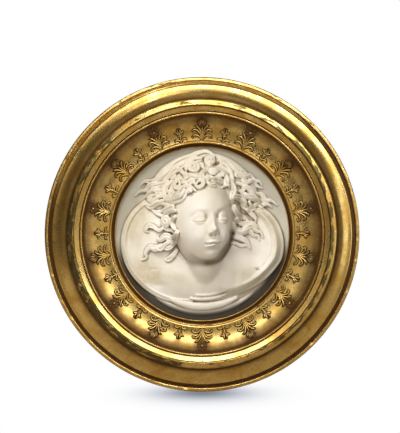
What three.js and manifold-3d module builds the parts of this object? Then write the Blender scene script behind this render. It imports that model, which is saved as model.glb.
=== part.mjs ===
// Round marble relief of a cherub's head between two wings, held in a turned and gilded wooden
// frame with palmettes raised in its cove. It hangs on a wall.
// Millimetres, +Z up. The front faces -Y, and the back lies in the plane y = 0, against the wall.
// The origin is the centre of the back. Heights are measured from the wall towards the front.
import * as THREE from 'three';
import { mergeVertices } from 'three/addons/utils/BufferGeometryUtils.js';
import Module from 'manifold-3d';

const wasm = await Module();
wasm.setup();

// Facets of everything turned, so that the block's edge lies evenly in its seat
const turnedSegments = 40;

// Frame, from the opening outwards. Radii grow by these widths.
const sightRadius = 121.5;
const sightWallWidth = 2.5;
const sightBeadRadius = 2;
const sightGrooveWidth = 2;
const ornamentCoveWidth = 36;
const filletWidth = 4.4;
const stepWidth = 3.6;
const stepSlope = 1.2;
const beadRadius = 7.5;
const outerCoveWidth = 23.6;
const outerGrooveWidth = 2.4;
const lipWidth = 5;
const lipRound = 2;

// Frame, from the wall forwards
const seatDepth = 16.3;
const seatWidth = 10;
const sightLipThickness = 6.2;
const sightGrooveDepth = 1.8;
const ornamentCoveRise = 13.5;
const stepFall = 2;
const beadLift = 4.5;
const outerCoveFloor = 24;
const lipRise = 1;
const outerGrooveDepth = 4;
const coveSteps = 4;
const outerCoveSteps = 3;
const beadSteps = 4;

// Palmettes in the cove. A small one stands between every two large ones.
const largePalmettes = 14;
const palmetteFoot = 2;
const palmetteMargin = 4;
const largeShare = 0.5;
const smallShare = 0.27;
const smallToLarge = 0.62;
const leafWidth = 7;
const leafRise = 2.5;
const leafSink = 0.8;

// Marble block
const fitGap = 0.3;
const bowlDepth = 6;
const bowlSteps = 3;
const wingClearance = 4;
const figureSink = 4;

// The figure. Its heights are measured from the lowest point of the field behind it.
const headHeight = 134;
const headWidth = 88;
const headDepth = 100;
const headCentre = new THREE.Vector3(2, -24, 20);
const headTurn = THREE.MathUtils.degToRad(18);
const headTilt = THREE.MathUtils.degToRad(-3);
const headLift = THREE.MathUtils.degToRad(-4);
const capRadii = new THREE.Vector3(57, 44, 70);
const capCentre = new THREE.Vector3(1, -10, 36);
const neckRadii = new THREE.Vector3(27, 27, 44);
const neckCentre = new THREE.Vector3(7, -8, -42);
const chestRadii = new THREE.Vector3(84, 25, 42);
const chestCentre = new THREE.Vector3(6, 0, -54);
const lockHeight = 0.96;
const lockSides = 3;
const curlSides = 4;
const curlSegments = 6;

// The wings. Angles are in degrees, from the horizontal and then from each wing's middle line.
const wingRoot = 30;
const leftWing = {
  side: -1, reach: 116, mid: -20, upperSpan: 50, upperDrop: 0.2, lowerSpan: 64, lowerDrop: 0.16,
  lowerPower: 1.5, rimHeight: 20, rimWidth: 6, hollow: 6, rootHeight: 21,
};
const rightWing = {
  side: 1, reach: 117.5, mid: -18, upperSpan: 44, upperDrop: 0.24, lowerSpan: 55, lowerDrop: 0.21,
  lowerPower: 1.05, rimHeight: 24, rimWidth: 13, hollow: 8, rootHeight: 23,
};

// Radii and heights that follow
const sightOuter = sightRadius + sightWallWidth;
const sightBeadCentre = sightOuter + sightBeadRadius;
const ornamentInner = sightBeadCentre + sightBeadRadius + sightGrooveWidth;
const ornamentOuter = ornamentInner + ornamentCoveWidth;
const filletOuter = ornamentOuter + filletWidth;
const beadCentre = filletOuter + stepWidth + beadRadius;
const outerCoveOuter = beadCentre + beadRadius + outerCoveWidth;
const lipInner = outerCoveOuter + outerGrooveWidth;
const frameRadius = lipInner + lipWidth;
const ornamentFloor = seatDepth + sightLipThickness;
const filletHeight = ornamentFloor + ornamentCoveRise;
const beadHeight = filletHeight + beadLift;
const lipHeight = outerCoveFloor + lipRise;
const seatRadius = sightRadius + seatWidth;
const slabRadius = seatRadius - fitGap;
const slabEdge = seatDepth - fitGap;
const fieldMiddle = slabEdge - bowlDepth;
const figureScale = (sightRadius - wingClearance) / Math.max(leftWing.reach, rightWing.reach);

// A closed geometry as a solid, with its shared corners merged and its empty triangles left out
function solid(geometry) {
  const bare = geometry.clone();
  bare.deleteAttribute('normal');
  bare.deleteAttribute('uv');
  const merged = mergeVertices(bare, 1e-4);
  const index = merged.index.array;
  const kept = [];
  for (let i = 0; i < index.length; i += 3) {
    const [a, b, c] = [index[i], index[i + 1], index[i + 2]];
    if (a !== b && b !== c && c !== a) kept.push(a, b, c);
  }
  return new wasm.Manifold(new wasm.Mesh({
    numProp: 3,
    vertProperties: new Float32Array(merged.attributes.position.array),
    triVerts: new Uint32Array(kept),
  }));
}

function geometryOf(manifold) {
  const mesh = manifold.getMesh();
  const geometry = new THREE.BufferGeometry();
  geometry.setAttribute('position', new THREE.BufferAttribute(mesh.vertProperties, 3));
  geometry.setIndex(new THREE.BufferAttribute(mesh.triVerts, 1));
  geometry.computeVertexNormals();
  return geometry;
}

// The outer shell of a body: small hollows closed in between its joined forms are filled
function outerShell(geometry) {
  const triangles = geometry.index.array;
  const owner = Array.from({ length: geometry.attributes.position.count }, (_, i) => i);
  const root = (vertex) => {
    let top = vertex;
    while (owner[top] !== top) top = owner[top];
    owner[vertex] = top;
    return top;
  };
  for (let i = 0; i < triangles.length; i += 3) {
    owner[root(triangles[i + 1])] = root(triangles[i]);
    owner[root(triangles[i + 2])] = root(triangles[i]);
  }
  const sizes = new Map();
  for (const vertex of triangles) sizes.set(root(vertex), (sizes.get(root(vertex)) ?? 0) + 1);
  const largest = [...sizes].sort((a, b) => b[1] - a[1])[0][0];
  const kept = triangles.filter((_, i) => root(triangles[i - (i % 3)]) === largest);
  geometry.setIndex(new THREE.BufferAttribute(kept, 1));
  return geometry;
}

function surface(points, faces) {
  const geometry = new THREE.BufferGeometry().setFromPoints(points);
  geometry.setIndex(faces);
  return geometry;
}

// Points of an elliptical arc, from one angle to another in degrees
function arc(r, h, radiusR, radiusH, from, to, steps) {
  const points = [];
  for (let i = 0; i <= steps; i += 1) {
    const angle = THREE.MathUtils.degToRad(from + ((to - from) * i) / steps);
    points.push(new THREE.Vector2(r + radiusR * Math.cos(angle), h + radiusH * Math.sin(angle)));
  }
  return points;
}

// A profile of radius and height, turned about the axis that points to the front
function turned(profile) {
  return new THREE.LatheGeometry(profile, turnedSegments).rotateX(Math.PI);
}

// A point at an angle from twelve o'clock, clockwise seen from the front
function around(angle, radius, height) {
  return new THREE.Vector3(radius * Math.sin(angle), -height, radius * Math.cos(angle));
}

// A tapering body through rings of points, closed by a point at each end
function ringBody(start, rings, end) {
  const count = rings[0].length;
  const points = [start, ...rings.flat(), end];
  const faces = [];
  const at = (ring, side) => 1 + ring * count + (side % count);
  for (let side = 0; side < count; side += 1) {
    faces.push(0, at(0, side + 1), at(0, side));
    for (let ring = 0; ring + 1 < rings.length; ring += 1) {
      faces.push(at(ring, side), at(ring, side + 1), at(ring + 1, side));
      faces.push(at(ring + 1, side), at(ring, side + 1), at(ring + 1, side + 1));
    }
    faces.push(at(rings.length - 1, side), at(rings.length - 1, side + 1), points.length - 1);
  }
  return solid(surface(points, faces));
}

// The turned section of the frame, going out along its back and in along its front
function frameProfile() {
  return [
    new THREE.Vector2(seatRadius, 0),
    new THREE.Vector2(frameRadius, 0),
    new THREE.Vector2(frameRadius, lipHeight - lipRound),
    new THREE.Vector2(frameRadius - lipRound, lipHeight),
    new THREE.Vector2(lipInner, lipHeight),
    new THREE.Vector2(lipInner - outerGrooveWidth / 2, lipHeight - outerGrooveDepth),
    ...arc(outerCoveOuter, beadHeight, outerCoveWidth, beadHeight - outerCoveFloor,
      -90, -180, outerCoveSteps),
    ...arc(beadCentre, beadHeight, beadRadius, beadRadius, 0, 180, beadSteps).slice(1),
    new THREE.Vector2(filletOuter, filletHeight - stepFall),
    new THREE.Vector2(filletOuter - stepSlope, filletHeight),
    ...arc(ornamentInner, filletHeight, ornamentCoveWidth, ornamentCoveRise, 0, -90, coveSteps),
    new THREE.Vector2(ornamentInner - sightGrooveWidth / 2, ornamentFloor - sightGrooveDepth),
    ...arc(sightBeadCentre, ornamentFloor, sightBeadRadius, sightBeadRadius, 0, 180, 2),
    new THREE.Vector2(sightRadius, seatDepth),
    new THREE.Vector2(seatRadius, seatDepth),
    new THREE.Vector2(seatRadius, 0),
  ];
}

// A point on the ornament cove: across is measured from the sight outwards, along from the motif's
// middle line, and lift stands off the surface
function onCove(angle, along, across, lift) {
  const share = across / ornamentCoveWidth;
  const hollow = Math.sqrt(1 - share * share);
  const slope = (ornamentCoveRise * share) / (ornamentCoveWidth * hollow);
  const length = Math.hypot(slope, 1);
  const radius = ornamentInner + across - (lift * slope) / length;
  const height = filletHeight - ornamentCoveRise * hollow + lift / length;
  return around(angle + along / radius, radius, height);
}

// A leaf or scroll on the cove: a ridge along a curved line, widest at its middle
function coveRidge(angle, line, width) {
  const steps = line.length - 1;
  const rings = [];
  for (let i = 1; i < steps; i += 1) {
    const ahead = new THREE.Vector2().subVectors(line[i + 1], line[i - 1]).normalize();
    const half = (width / 2) * Math.sin((Math.PI * i) / steps) ** 0.5;
    const left = new THREE.Vector2(line[i].x - ahead.y * half, line[i].y + ahead.x * half);
    const right = new THREE.Vector2(line[i].x + ahead.y * half, line[i].y - ahead.x * half);
    rings.push([
      onCove(angle, left.x, left.y, -leafSink / 2),
      onCove(angle, line[i].x, line[i].y, leafRise),
      onCove(angle, right.x, right.y, -leafSink / 2),
      onCove(angle, line[i].x, line[i].y, -leafSink * 2),
    ]);
  }
  const start = onCove(angle, line[0].x, line[0].y, -leafSink / 2);
  const end = onCove(angle, line[steps].x, line[steps].y, -leafSink / 2);
  return ringBody(start, rings, end);
}

// A motif of fanned leaves above two side scrolls, in the space given by its width and height
function palmette(angle, width, height, leaves) {
  const parts = [];
  const foot = palmetteFoot;
  for (let i = 0; i < leaves; i += 1) {
    const spread = leaves === 1 ? 0 : (2 * i) / (leaves - 1) - 1;
    const reach = height * (1 - 0.3 * spread * spread);
    const lean = spread * width * 0.3;
    parts.push(coveRidge(angle, [
      new THREE.Vector2(lean * 0.1, foot),
      new THREE.Vector2(lean * 0.5, foot + (reach - foot) * 0.55),
      new THREE.Vector2(lean, reach),
    ], leafWidth));
  }
  for (const side of [-1, 1]) {
    parts.push(coveRidge(angle, [
      new THREE.Vector2(side * width * 0.08, foot),
      new THREE.Vector2(side * width * 0.44, height * 0.24),
      new THREE.Vector2(side * width * 0.34, height * 0.46),
    ], leafWidth));
  }
  return wasm.Manifold.union(parts);
}

function giltFrame() {
  const motifs = [];
  const pitch = (Math.PI * (ornamentInner + ornamentOuter)) / largePalmettes;
  const height = ornamentCoveWidth - palmetteMargin;
  for (let i = 0; i < largePalmettes * 2; i += 1) {
    const angle = (Math.PI * i) / largePalmettes;
    const large = i % 2 === 0;
    motifs.push(large ? palmette(angle, pitch * largeShare, height, 3)
      : palmette(angle, pitch * smallShare, height * smallToLarge, 1));
  }
  return solid(turned(frameProfile())).add(wasm.Manifold.union(motifs));
}

// The height of the dished field above its lowest point, at a share of the way to the opening
function fieldRise(share) {
  return bowlDepth * Math.min(share, 1) ** 2;
}

// The block's back part: a disc that sits in the frame's seat, hollowed at the front
function slab() {
  const profile = [new THREE.Vector2(0, 0), new THREE.Vector2(slabRadius, 0),
    new THREE.Vector2(slabRadius, slabEdge)];
  for (let i = bowlSteps; i >= 0; i -= 1) {
    profile.push(new THREE.Vector2((sightRadius * i) / bowlSteps, fieldMiddle + fieldRise(i / bowlSteps)));
  }
  return solid(turned(profile));
}

// A smooth bump of height 1 at its centre, as wide as its two radii
function bump(x, z, centreX, centreZ, radiusX, radiusZ) {
  return Math.exp(-(((x - centreX) / radiusX) ** 2) - ((z - centreZ) / radiusZ) ** 2);
}

// How far a calm child's face stands out from the plain form of the head. Places are shares of
// the head's height: eyes a little below the middle, then nose, mouth and chin.
function faceRelief(x, z) {
  const unit = headHeight / 100;
  const chin = -headHeight / 2;
  const [u, w] = [Math.abs(x) / unit, (z - chin) / unit];
  let relief = 6 * bump(u, w, 0, 30, 3.6, 4.5) + 4 * bump(u, w, 0, 37, 3.4, 7);
  relief += 1.8 * bump(u, w, 4, 28.5, 2.2, 2.4);
  relief -= 3.6 * bump(u, w, 13, 44, 8, 5.5);
  relief += 2.2 * bump(u, w, 13, 42.5, 5.4, 3);
  relief += 0.8 * bump(u, w, 11, 54, 12, 6);
  relief += 2.6 * bump(u, w, 0, 18, 6.5, 3) - 1.8 * bump(u, w, 0, 18.2, 5.5, 0.9);
  relief -= 1.5 * bump(u, w, 0, 12, 6, 2);
  relief += 4 * bump(u, w, 0, 5.5, 8, 4.5);
  relief += 4.5 * bump(u, w, 19, 24, 9, 9);
  return relief * unit;
}

// A direction from the middle of the head to a point of its skin
function headPoint(direction) {
  const low = Math.max(0, -direction.z);
  const jaw = 1 - 0.2 * low * low;
  const x = (headWidth / 2) * direction.x * jaw;
  const y = (headDepth / 2) * direction.y * (1 - 0.08 * low);
  const z = (headHeight / 2) * direction.z;
  const front = Math.max(0, -direction.y) ** 0.7;
  return new THREE.Vector3(x, y - faceRelief(x, z) * front, z);
}

function headPose() {
  const turn = new THREE.Euler(headLift, headTilt, headTurn, 'YZX');
  return new THREE.Matrix4().makeRotationFromEuler(turn).setPosition(headCentre);
}

// The head, as a globe of longitudes that are closer together on the face
function head(longitudes, latitudes) {
  const points = [headPoint(new THREE.Vector3(0, 0, -1))];
  for (let i = 1; i < latitudes; i += 1) {
    const latitude = -Math.PI / 2 + (Math.PI * i) / latitudes + 0.12 * Math.sin((Math.PI * i) / latitudes);
    for (let j = 0; j < longitudes; j += 1) {
      const even = (2 * Math.PI * j) / longitudes;
      const longitude = even - 0.62 * Math.sin(even);
      points.push(headPoint(new THREE.Vector3(
        Math.cos(latitude) * Math.sin(longitude),
        -Math.cos(latitude) * Math.cos(longitude),
        Math.sin(latitude),
      )));
    }
  }
  points.push(headPoint(new THREE.Vector3(0, 0, 1)));
  const faces = [];
  const at = (row, column) => 1 + row * longitudes + (column % longitudes);
  for (let j = 0; j < longitudes; j += 1) {
    faces.push(0, at(0, j + 1), at(0, j));
    for (let i = 0; i + 2 < latitudes; i += 1) {
      faces.push(at(i, j), at(i, j + 1), at(i + 1, j));
      faces.push(at(i + 1, j), at(i, j + 1), at(i + 1, j + 1));
    }
    faces.push(at(latitudes - 2, j), at(latitudes - 2, j + 1), points.length - 1);
  }
  return solid(surface(points, faces).applyMatrix4(headPose()));
}

// A globe with its poles above and below, to be stretched into a rounded form
function egg(longitudes, latitudes) {
  return new THREE.SphereGeometry(1, longitudes, latitudes).rotateX(Math.PI / 2);
}

// The mass of hair around the skull, set back from the face
function hairCap() {
  return solid(egg(14, 8).scale(...capRadii).translate(...capCentre));
}

function neck() {
  return solid(egg(10, 6).scale(...neckRadii).translate(...neckCentre));
}

function chest() {
  return solid(egg(12, 6).scale(...chestRadii).translate(...chestCentre));
}

// The height of what a lock of hair lies on: the mass of hair, a wing or the field
function combHeight(x, z) {
  const across = (x - capCentre.x) / capRadii.x;
  const up = (z - capCentre.z) / capRadii.z;
  const inside = 1 - across * across - up * up;
  const cap = -capCentre.y + capRadii.y * Math.sqrt(Math.max(0, inside));
  const shape = x < 0 ? leftWing : rightWing;
  const radius = Math.hypot(x, z);
  const rise = THREE.MathUtils.radToDeg(Math.atan2(z, Math.abs(x))) - shape.mid;
  const onWing = rise < shape.upperSpan && radius < wingEdge(shape, rise);
  const level = onWing ? shape.rootHeight - shape.hollow / 2 : fieldRise(radius / sightRadius);
  return inside > 0 ? Math.max(cap, level) : level;
}

// A lock of hair: a tapering ridged body along a line of places on the front, given as x and z,
// with a lift above what it lies on
function lock(places, width, lift = 0, steps = 5) {
  const line = new THREE.CatmullRomCurve3(places.map(([x, z]) => (
    new THREE.Vector3(x, -combHeight(x, z) - lift, z)
  )));
  const rings = [];
  for (let i = 1; i < steps; i += 1) {
    const share = i / steps;
    const centre = line.getPoint(share);
    const ahead = line.getTangent(share);
    const across = new THREE.Vector3(0, -1, 0).cross(ahead).normalize();
    const out = new THREE.Vector3().crossVectors(ahead, across);
    const half = (width / 2) * Math.min(1, 1.9 * (1 - share) + 0.15) * Math.min(1, 0.5 + 2.2 * share);
    const ring = [];
    for (let side = 0; side < lockSides; side += 1) {
      const angle = (2 * Math.PI * side) / lockSides;
      ring.push(centre.clone()
        .addScaledVector(out, half * lockHeight * Math.cos(angle))
        .addScaledVector(across, -half * Math.sin(angle)));
    }
    rings.push(ring);
  }
  return ringBody(line.getPoint(0), rings, line.getPoint(1));
}

// A curl: a ring of hair that stands on the mass of hair, leaning with it
function curl(x, z, radius, lift) {
  const geometry = new THREE.TorusGeometry(radius * 0.64, radius * 0.46, curlSides, curlSegments);
  const out = new THREE.Vector3(x - capCentre.x, -combHeight(x, z) - capCentre.y, z - capCentre.z);
  out.divide(capRadii).divide(capRadii).normalize();
  const lean = new THREE.Quaternion().setFromUnitVectors(new THREE.Vector3(0, 0, 1), out);
  geometry.applyQuaternion(lean);
  return solid(geometry.translate(x, -combHeight(x, z) - lift, z));
}

// A strand that leaves the head at an angle and waves from side to side across its own line
function strand(x, z, angle, length, waves, sway, width, lift = 0) {
  const places = [];
  const direction = THREE.MathUtils.degToRad(angle);
  for (let i = 0; i <= 6; i += 1) {
    const along = (length * i) / 6;
    const across = sway * Math.sin((2 * Math.PI * waves * i) / 6);
    places.push([
      x + along * Math.cos(direction) - across * Math.sin(direction),
      z + along * Math.sin(direction) + across * Math.cos(direction),
    ]);
  }
  return lock(places, width, lift, 6);
}

function hair() {
  const locks = [];
  // Curls round the brow, from the viewer's left over the middle to the right: place, radius, lift
  const brow = [
    [-47, 42, 10, 4], [-43, 58, 12, 3], [-34, 71, 10, 6], [-49, 75, 11, 1], [-20, 81, 12, 4], [-4, 72, 9, 11],
    [18, 75, 9, 9], [34, 80, 11, 4], [44, 67, 10, 3], [50, 54, 10, 2], [48, 88, 9, 0],
  ];
  for (const values of brow) locks.push(curl(...values));
  // Rolls over the crown
  const crown = [
    [[[22, 86], [20, 98], [11, 107], [3, 99], [8, 90]], 13, 13],
    [[[19, 113], [6, 115], [-10, 110], [-28, 102], [-46, 90], [-56, 80]], 15, 5],
    [[[-2, 104], [-14, 101], [-30, 94], [-38, 84]], 14, 8],
    [[[14, 112], [28, 103], [42, 94], [52, 80]], 14, 4],
    [[[22, 98], [32, 92], [40, 84]], 12, 9],
    [[[6, 90], [-6, 88], [-16, 92], [-26, 88]], 13, 9],
    [[[4, 86], [14, 84], [26, 88], [36, 84]], 11, 9],
  ];
  for (const values of crown) locks.push(lock(...values));
  // Locks blown across the wings and the field: where each leaves the head, its direction, length,
  // waves, sway, width and lift
  const blown = [
    [-50, 70, 170, 40, 1.2, 3, 12, 2], [-52, 62, 186, 46, 1.2, 3, 11, 2], [-40, 46, 178, 42, 0.5, 4, 17, 3],
    [-38, 34, 200, 22, 0.5, 3, 11, 5], [-44, 16, 184, 38, 1, -4, 12, 5], [-36, -4, 172, 32, 0.5, 4, 14, 6],
    [-38, -13, 204, 44, 1, -4, 13, 5], [-44, -20, 216, 36, 1, 5, 9, 3], [-33, -28, 200, 24, 0.5, -3, 10, 2],
    [54, 80, -22, 36, 1.2, 3, 11, 2], [56, 72, -8, 34, 1, 3, 9, 1], [54, 60, -18, 58, 1.5, 4, 13, 2],
    [44, 48, -28, 36, 0.6, 5, 14, 5], [62, 50, -18, 48, 1, 4, 12, 2], [40, 24, -22, 38, 0.8, -7, 14, 5],
    [40, 10, -6, 46, 1, -6, 13, 5], [42, 0, -12, 46, 1, -4, 11, 4], [40, -8, -14, 32, 0.8, -3, 10, 2],
  ];
  for (const values of blown) locks.push(strand(...values));
  // Short locks in front of the ears
  locks.push(lock([[-44, 30], [-50, 20], [-50, 10], [-40, 4]], 11, 6));
  locks.push(lock([[44, 36], [38, 28], [46, 20], [50, 28]], 10, 5));
  return wasm.Manifold.union(locks);
}

// A body under a grid of points, down to a flat floor inside the slab
function bodyUnder(grid) {
  const [rows, columns] = [grid.length, grid[0].length];
  const floor = grid.flat().map((point) => new THREE.Vector3(point.x, figureSink, point.z));
  const points = [...grid.flat(), ...floor];
  const faces = [];
  const top = (i, j) => i * columns + j;
  const under = (i, j) => rows * columns + top(i, j);
  const quad = (a, b, c, d) => faces.push(a, c, b, a, d, c);
  for (let i = 0; i + 1 < rows; i += 1) {
    for (let j = 0; j + 1 < columns; j += 1) {
      quad(top(i, j), top(i, j + 1), top(i + 1, j + 1), top(i + 1, j));
      quad(under(i, j), under(i + 1, j), under(i + 1, j + 1), under(i, j + 1));
    }
    quad(top(i, 0), top(i + 1, 0), under(i + 1, 0), under(i, 0));
    quad(top(i, columns - 1), under(i, columns - 1), under(i + 1, columns - 1), top(i + 1, columns - 1));
  }
  for (let j = 0; j + 1 < columns; j += 1) {
    quad(top(0, j), under(0, j), under(0, j + 1), top(0, j + 1));
    quad(top(rows - 1, j), top(rows - 1, j + 1), under(rows - 1, j + 1), under(rows - 1, j));
  }
  return surface(points, faces);
}

// The distance of a wing's edge from the middle, at an angle above the wing's own middle line
function wingEdge(wing, rise) {
  if (rise > 0) return wing.reach * (1 - wing.upperDrop * (rise / wing.upperSpan) ** 2);
  return wing.reach * (1 - wing.lowerDrop * (-rise / wing.lowerSpan) ** wing.lowerPower);
}

// A wing folded round the shoulder: a shallow shell with a rounded rim, from its top beside the
// hair down to its tip under the chin
function wing(shape, rows = 10) {
  const shares = [0, 0.42, 0.84, 0.92, 1];
  const grid = [];
  for (let i = 0; i <= rows; i += 1) {
    const rise = shape.upperSpan - ((shape.upperSpan + shape.lowerSpan) * i) / rows;
    const angle = THREE.MathUtils.degToRad(shape.mid + rise);
    const edge = wingEdge(shape, rise);
    const ends = Math.min(1, 0.55 + (2.4 * Math.min(i, rows - i)) / rows);
    const rimFrom = edge - shape.rimWidth;
    const row = shares.map((share, j) => {
      const inner = wingRoot + (rimFrom - wingRoot) * Math.min(share / 0.84, 1);
      const radius = j < 2 ? inner : rimFrom + (shape.rimWidth * (j - 2)) / 2;
      let height = shape.rootHeight;
      height -= shape.hollow * Math.sin(Math.PI * Math.min(share, 0.84) ** 1.2 * 0.62);
      if (j === 3) height = shape.rimHeight;
      if (j === 4) height = shape.rimHeight - shape.rimWidth * 0.45;
      const x = shape.side * radius * Math.cos(angle);
      return new THREE.Vector3(x, -height * ends, radius * Math.sin(angle));
    });
    grid.push(shape.side > 0 ? row : row.reverse());
  }
  return solid(bodyUnder(grid));
}

// A long feather that lies round the bottom of the disc, under the wings' tips
function feather(from, to, inner, outer, height) {
  const rows = 5;
  const grid = [];
  for (let i = 0; i <= rows; i += 1) {
    const angle = THREE.MathUtils.degToRad(from + ((to - from) * i) / rows);
    const swell = Math.sin((Math.PI * (i + 0.4)) / (rows + 0.8)) ** 0.6;
    const middle = (inner + outer) / 2;
    const half = ((outer - inner) / 2) * swell;
    grid.push([middle - half, middle, middle + half].map((radius, j) => new THREE.Vector3(
      radius * Math.cos(angle), -(height - (j === 1 ? 0 : 2)), radius * Math.sin(angle),
    )));
  }
  return solid(bodyUnder(grid));
}

function figure() {
  return wasm.Manifold.union([
    head(24, 24), hairCap(), neck(), chest(), hair(), wing(leftWing), wing(rightWing),
    feather(-48, -125, 92, 106, 14), feather(-42, -112, 102, 113, 10),
  ]);
}

// The block: its slab and the figure carved on it, cut flat at the wall
function marbleRelief() {
  const carved = solid(geometryOf(figure()).scale(figureScale, figureScale, figureScale)
    .translate(0, -fieldMiddle, 0));
  const wall = solid(new THREE.BoxGeometry(frameRadius * 2, frameRadius, frameRadius * 2)
    .translate(0, frameRadius / 2, 0));
  return slab().add(carved).subtract(wall);
}

const marble = new THREE.MeshStandardMaterial({ color: 0xe3dccd, roughness: 0.5, metalness: 0 });
const gilding = new THREE.MeshStandardMaterial({ color: 0xc79a4a, roughness: 0.35, metalness: 1 });

const relief = new THREE.Mesh(outerShell(geometryOf(marbleRelief())), marble);
relief.name = 'marble_relief';
const frame = new THREE.Mesh(geometryOf(giltFrame()), gilding);
frame.name = 'gilt_frame';

const work = new THREE.Group();
work.add(relief, frame);
export default work;
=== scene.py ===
"""Looks of a round marble relief of a cherub's head between two wings, in a turned gilt frame.

Shapes are worked out in millimetres, as whole arrays, and put into their meshes in metres.
The front faces -Y, the back lies in the plane y = 0, and heights are measured from the back.
"""

import math

import bpy
import numpy as np
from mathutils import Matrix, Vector


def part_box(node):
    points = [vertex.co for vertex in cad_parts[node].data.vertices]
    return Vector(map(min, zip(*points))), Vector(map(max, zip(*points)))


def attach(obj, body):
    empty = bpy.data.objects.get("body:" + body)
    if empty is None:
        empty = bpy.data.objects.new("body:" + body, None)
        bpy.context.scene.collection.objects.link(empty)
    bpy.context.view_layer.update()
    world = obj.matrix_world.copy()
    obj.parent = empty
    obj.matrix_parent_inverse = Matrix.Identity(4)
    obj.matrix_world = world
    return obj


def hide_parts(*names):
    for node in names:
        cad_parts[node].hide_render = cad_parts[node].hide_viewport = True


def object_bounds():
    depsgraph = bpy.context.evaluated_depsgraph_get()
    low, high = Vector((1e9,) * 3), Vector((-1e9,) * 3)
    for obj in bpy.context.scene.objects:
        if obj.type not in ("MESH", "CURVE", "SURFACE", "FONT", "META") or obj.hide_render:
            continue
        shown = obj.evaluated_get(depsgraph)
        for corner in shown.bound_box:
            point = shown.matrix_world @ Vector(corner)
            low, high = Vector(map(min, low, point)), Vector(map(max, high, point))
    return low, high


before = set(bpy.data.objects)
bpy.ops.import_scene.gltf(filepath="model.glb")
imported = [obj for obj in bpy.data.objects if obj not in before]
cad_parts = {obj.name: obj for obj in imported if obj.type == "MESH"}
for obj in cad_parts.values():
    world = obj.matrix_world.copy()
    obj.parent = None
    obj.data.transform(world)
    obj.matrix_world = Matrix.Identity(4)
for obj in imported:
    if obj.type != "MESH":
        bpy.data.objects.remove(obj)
cad_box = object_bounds()

METRES = 0.001
PHOTO_WIDTH, PHOTO_HEIGHT = 400, 433

# The turned frame: radii from its middle and heights from its back. Its own radius comes from the
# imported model.
FRAME_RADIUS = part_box("gilt_frame")[1][0] / METRES
SIGHT_RADIUS = 121.5
SIGHT_BEAD = 1.3
SIGHT_BEAD_CENTRE = 128.2
SIGHT_EDGE = 122.6
ORNAMENT_INNER = 130.0
ORNAMENT_WIDTH = 36.0
ORNAMENT_OUTER = ORNAMENT_INNER + ORNAMENT_WIDTH
FILLET_OUTER = 168.3
BAND_INNER = 170.7
BAND_OUTER = 176.8
BEAD_CENTRE = 182.0
BEAD = 4.6
OUTER_COVE_OUTER = 209.4
OUTER_COVE_WIDTH = OUTER_COVE_OUTER - BEAD_CENTRE - BEAD
GROOVE_MIDDLE = 213.5
LIP_INNER = 215.0
LIP_ROUND = 2.0
SEAT_RADIUS = 131.5
SEAT_DEPTH = 16.3
ORNAMENT_FLOOR = 22.5
ORNAMENT_RISE = 13.5
FILLET_HEIGHT = ORNAMENT_FLOOR + ORNAMENT_RISE
BEAD_HEIGHT = FILLET_HEIGHT + 7.0
OUTER_COVE_FLOOR = 24.0
LIP_HEIGHT = 25.0
GROOVE_DEPTH = 3.4
SIGHT_GROOVE_DEPTH = 1.8
TURNED_STEPS = 490

# Knocks: seed, count, and the ranges of their radius, width and depth
KNOCKS = [
    (3, 46, (LIP_INNER, FRAME_RADIUS), (0.9, 2.2), (0.3, 1.0)),
    (5, 40, (BEAD_CENTRE - BEAD, BEAD_CENTRE + BEAD), (0.7, 1.8), (0.15, 0.55)),
    (8, 26, (ORNAMENT_OUTER, FILLET_OUTER), (0.5, 1.2), (0.15, 0.5)),
]

# Palmettes. A line is rows of along, across and half width, drawn on one side and mirrored. The
# buttons are places of along and across, and a rosette's leaf is rows of reach and half width.
LARGE_MOTIFS = 14
PITCH = 2 * math.pi / LARGE_MOTIFS
SKIRT = 1.1
SCROLL = [(0.9, 0.4, 0.4), (2.8, 4.0, 0.7), (6.6, 7.0, 0.75), (10.8, 7.4, 0.75), (13.2, 5.2, 0.7),
          (11.8, 3.4, 0.4)]
RIBS = [
    [(0.8, 1.6, 0.4), (2.0, 8.0, 0.7), (5.0, 13.2, 0.8), (9.6, 16.2, 0.75), (13.0, 14.8, 0.7),
     (12.4, 12.4, 0.4)],
    [(0.4, 2.4, 0.4), (1.2, 9.6, 0.65), (3.2, 16.0, 0.8), (7.4, 21.0, 0.75), (10.4, 20.6, 0.3)],
]
STEM = [(0, 1.4, 0.6), (0, 8, 0.7), (0, 15, 0.75), (0, 20, 0.5)]
SCROLL_BUTTONS = [(10.8, 4.6), (11.2, 13.4)]
ROSETTE_MIDDLE = 26
ROSETTE_LEAVES = 8
ROSETTE_LEAF = [(1.8, 0.4), (3.8, 1.2), (5.6, 1.5), (7.2, 0.5)]
BUD_OUTER = [(0.4, 19.0, 0.4), (3.0, 21.6, 0.8), (5.0, 25.6, 0.9), (4.2, 29.2, 0.3)]
BUD_INNER = [(0.3, 20.5, 0.4), (1.9, 24.0, 0.8), (2.2, 28.0, 0.8), (0.8, 32.0, 0.3)]
BUD_MIDDLE = [(0, 22, 0.4), (0, 26, 0.8), (0, 30, 0.5)]
SMALL_RIB = [(0.5, 10.4, 0.3), (2.6, 13.4, 0.8), (5.2, 15.4, 0.75), (7.0, 14.2, 0.3)]
SMALL_LEAF = [(0.3, 12.0, 0.3), (1.8, 15.4, 0.7), (1.9, 18.2, 0.65), (0.7, 21.2, 0.2)]
SMALL_STEM = [(0, 1.4, 0.8), (0, 7, 0.75), (0, 12, 0.7), (0, 16, 0.4)]
SMALL_BAR = [(-3.4, 10.2, 0.3), (0, 9.4, 0.8), (3.4, 10.2, 0.3)]

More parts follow.
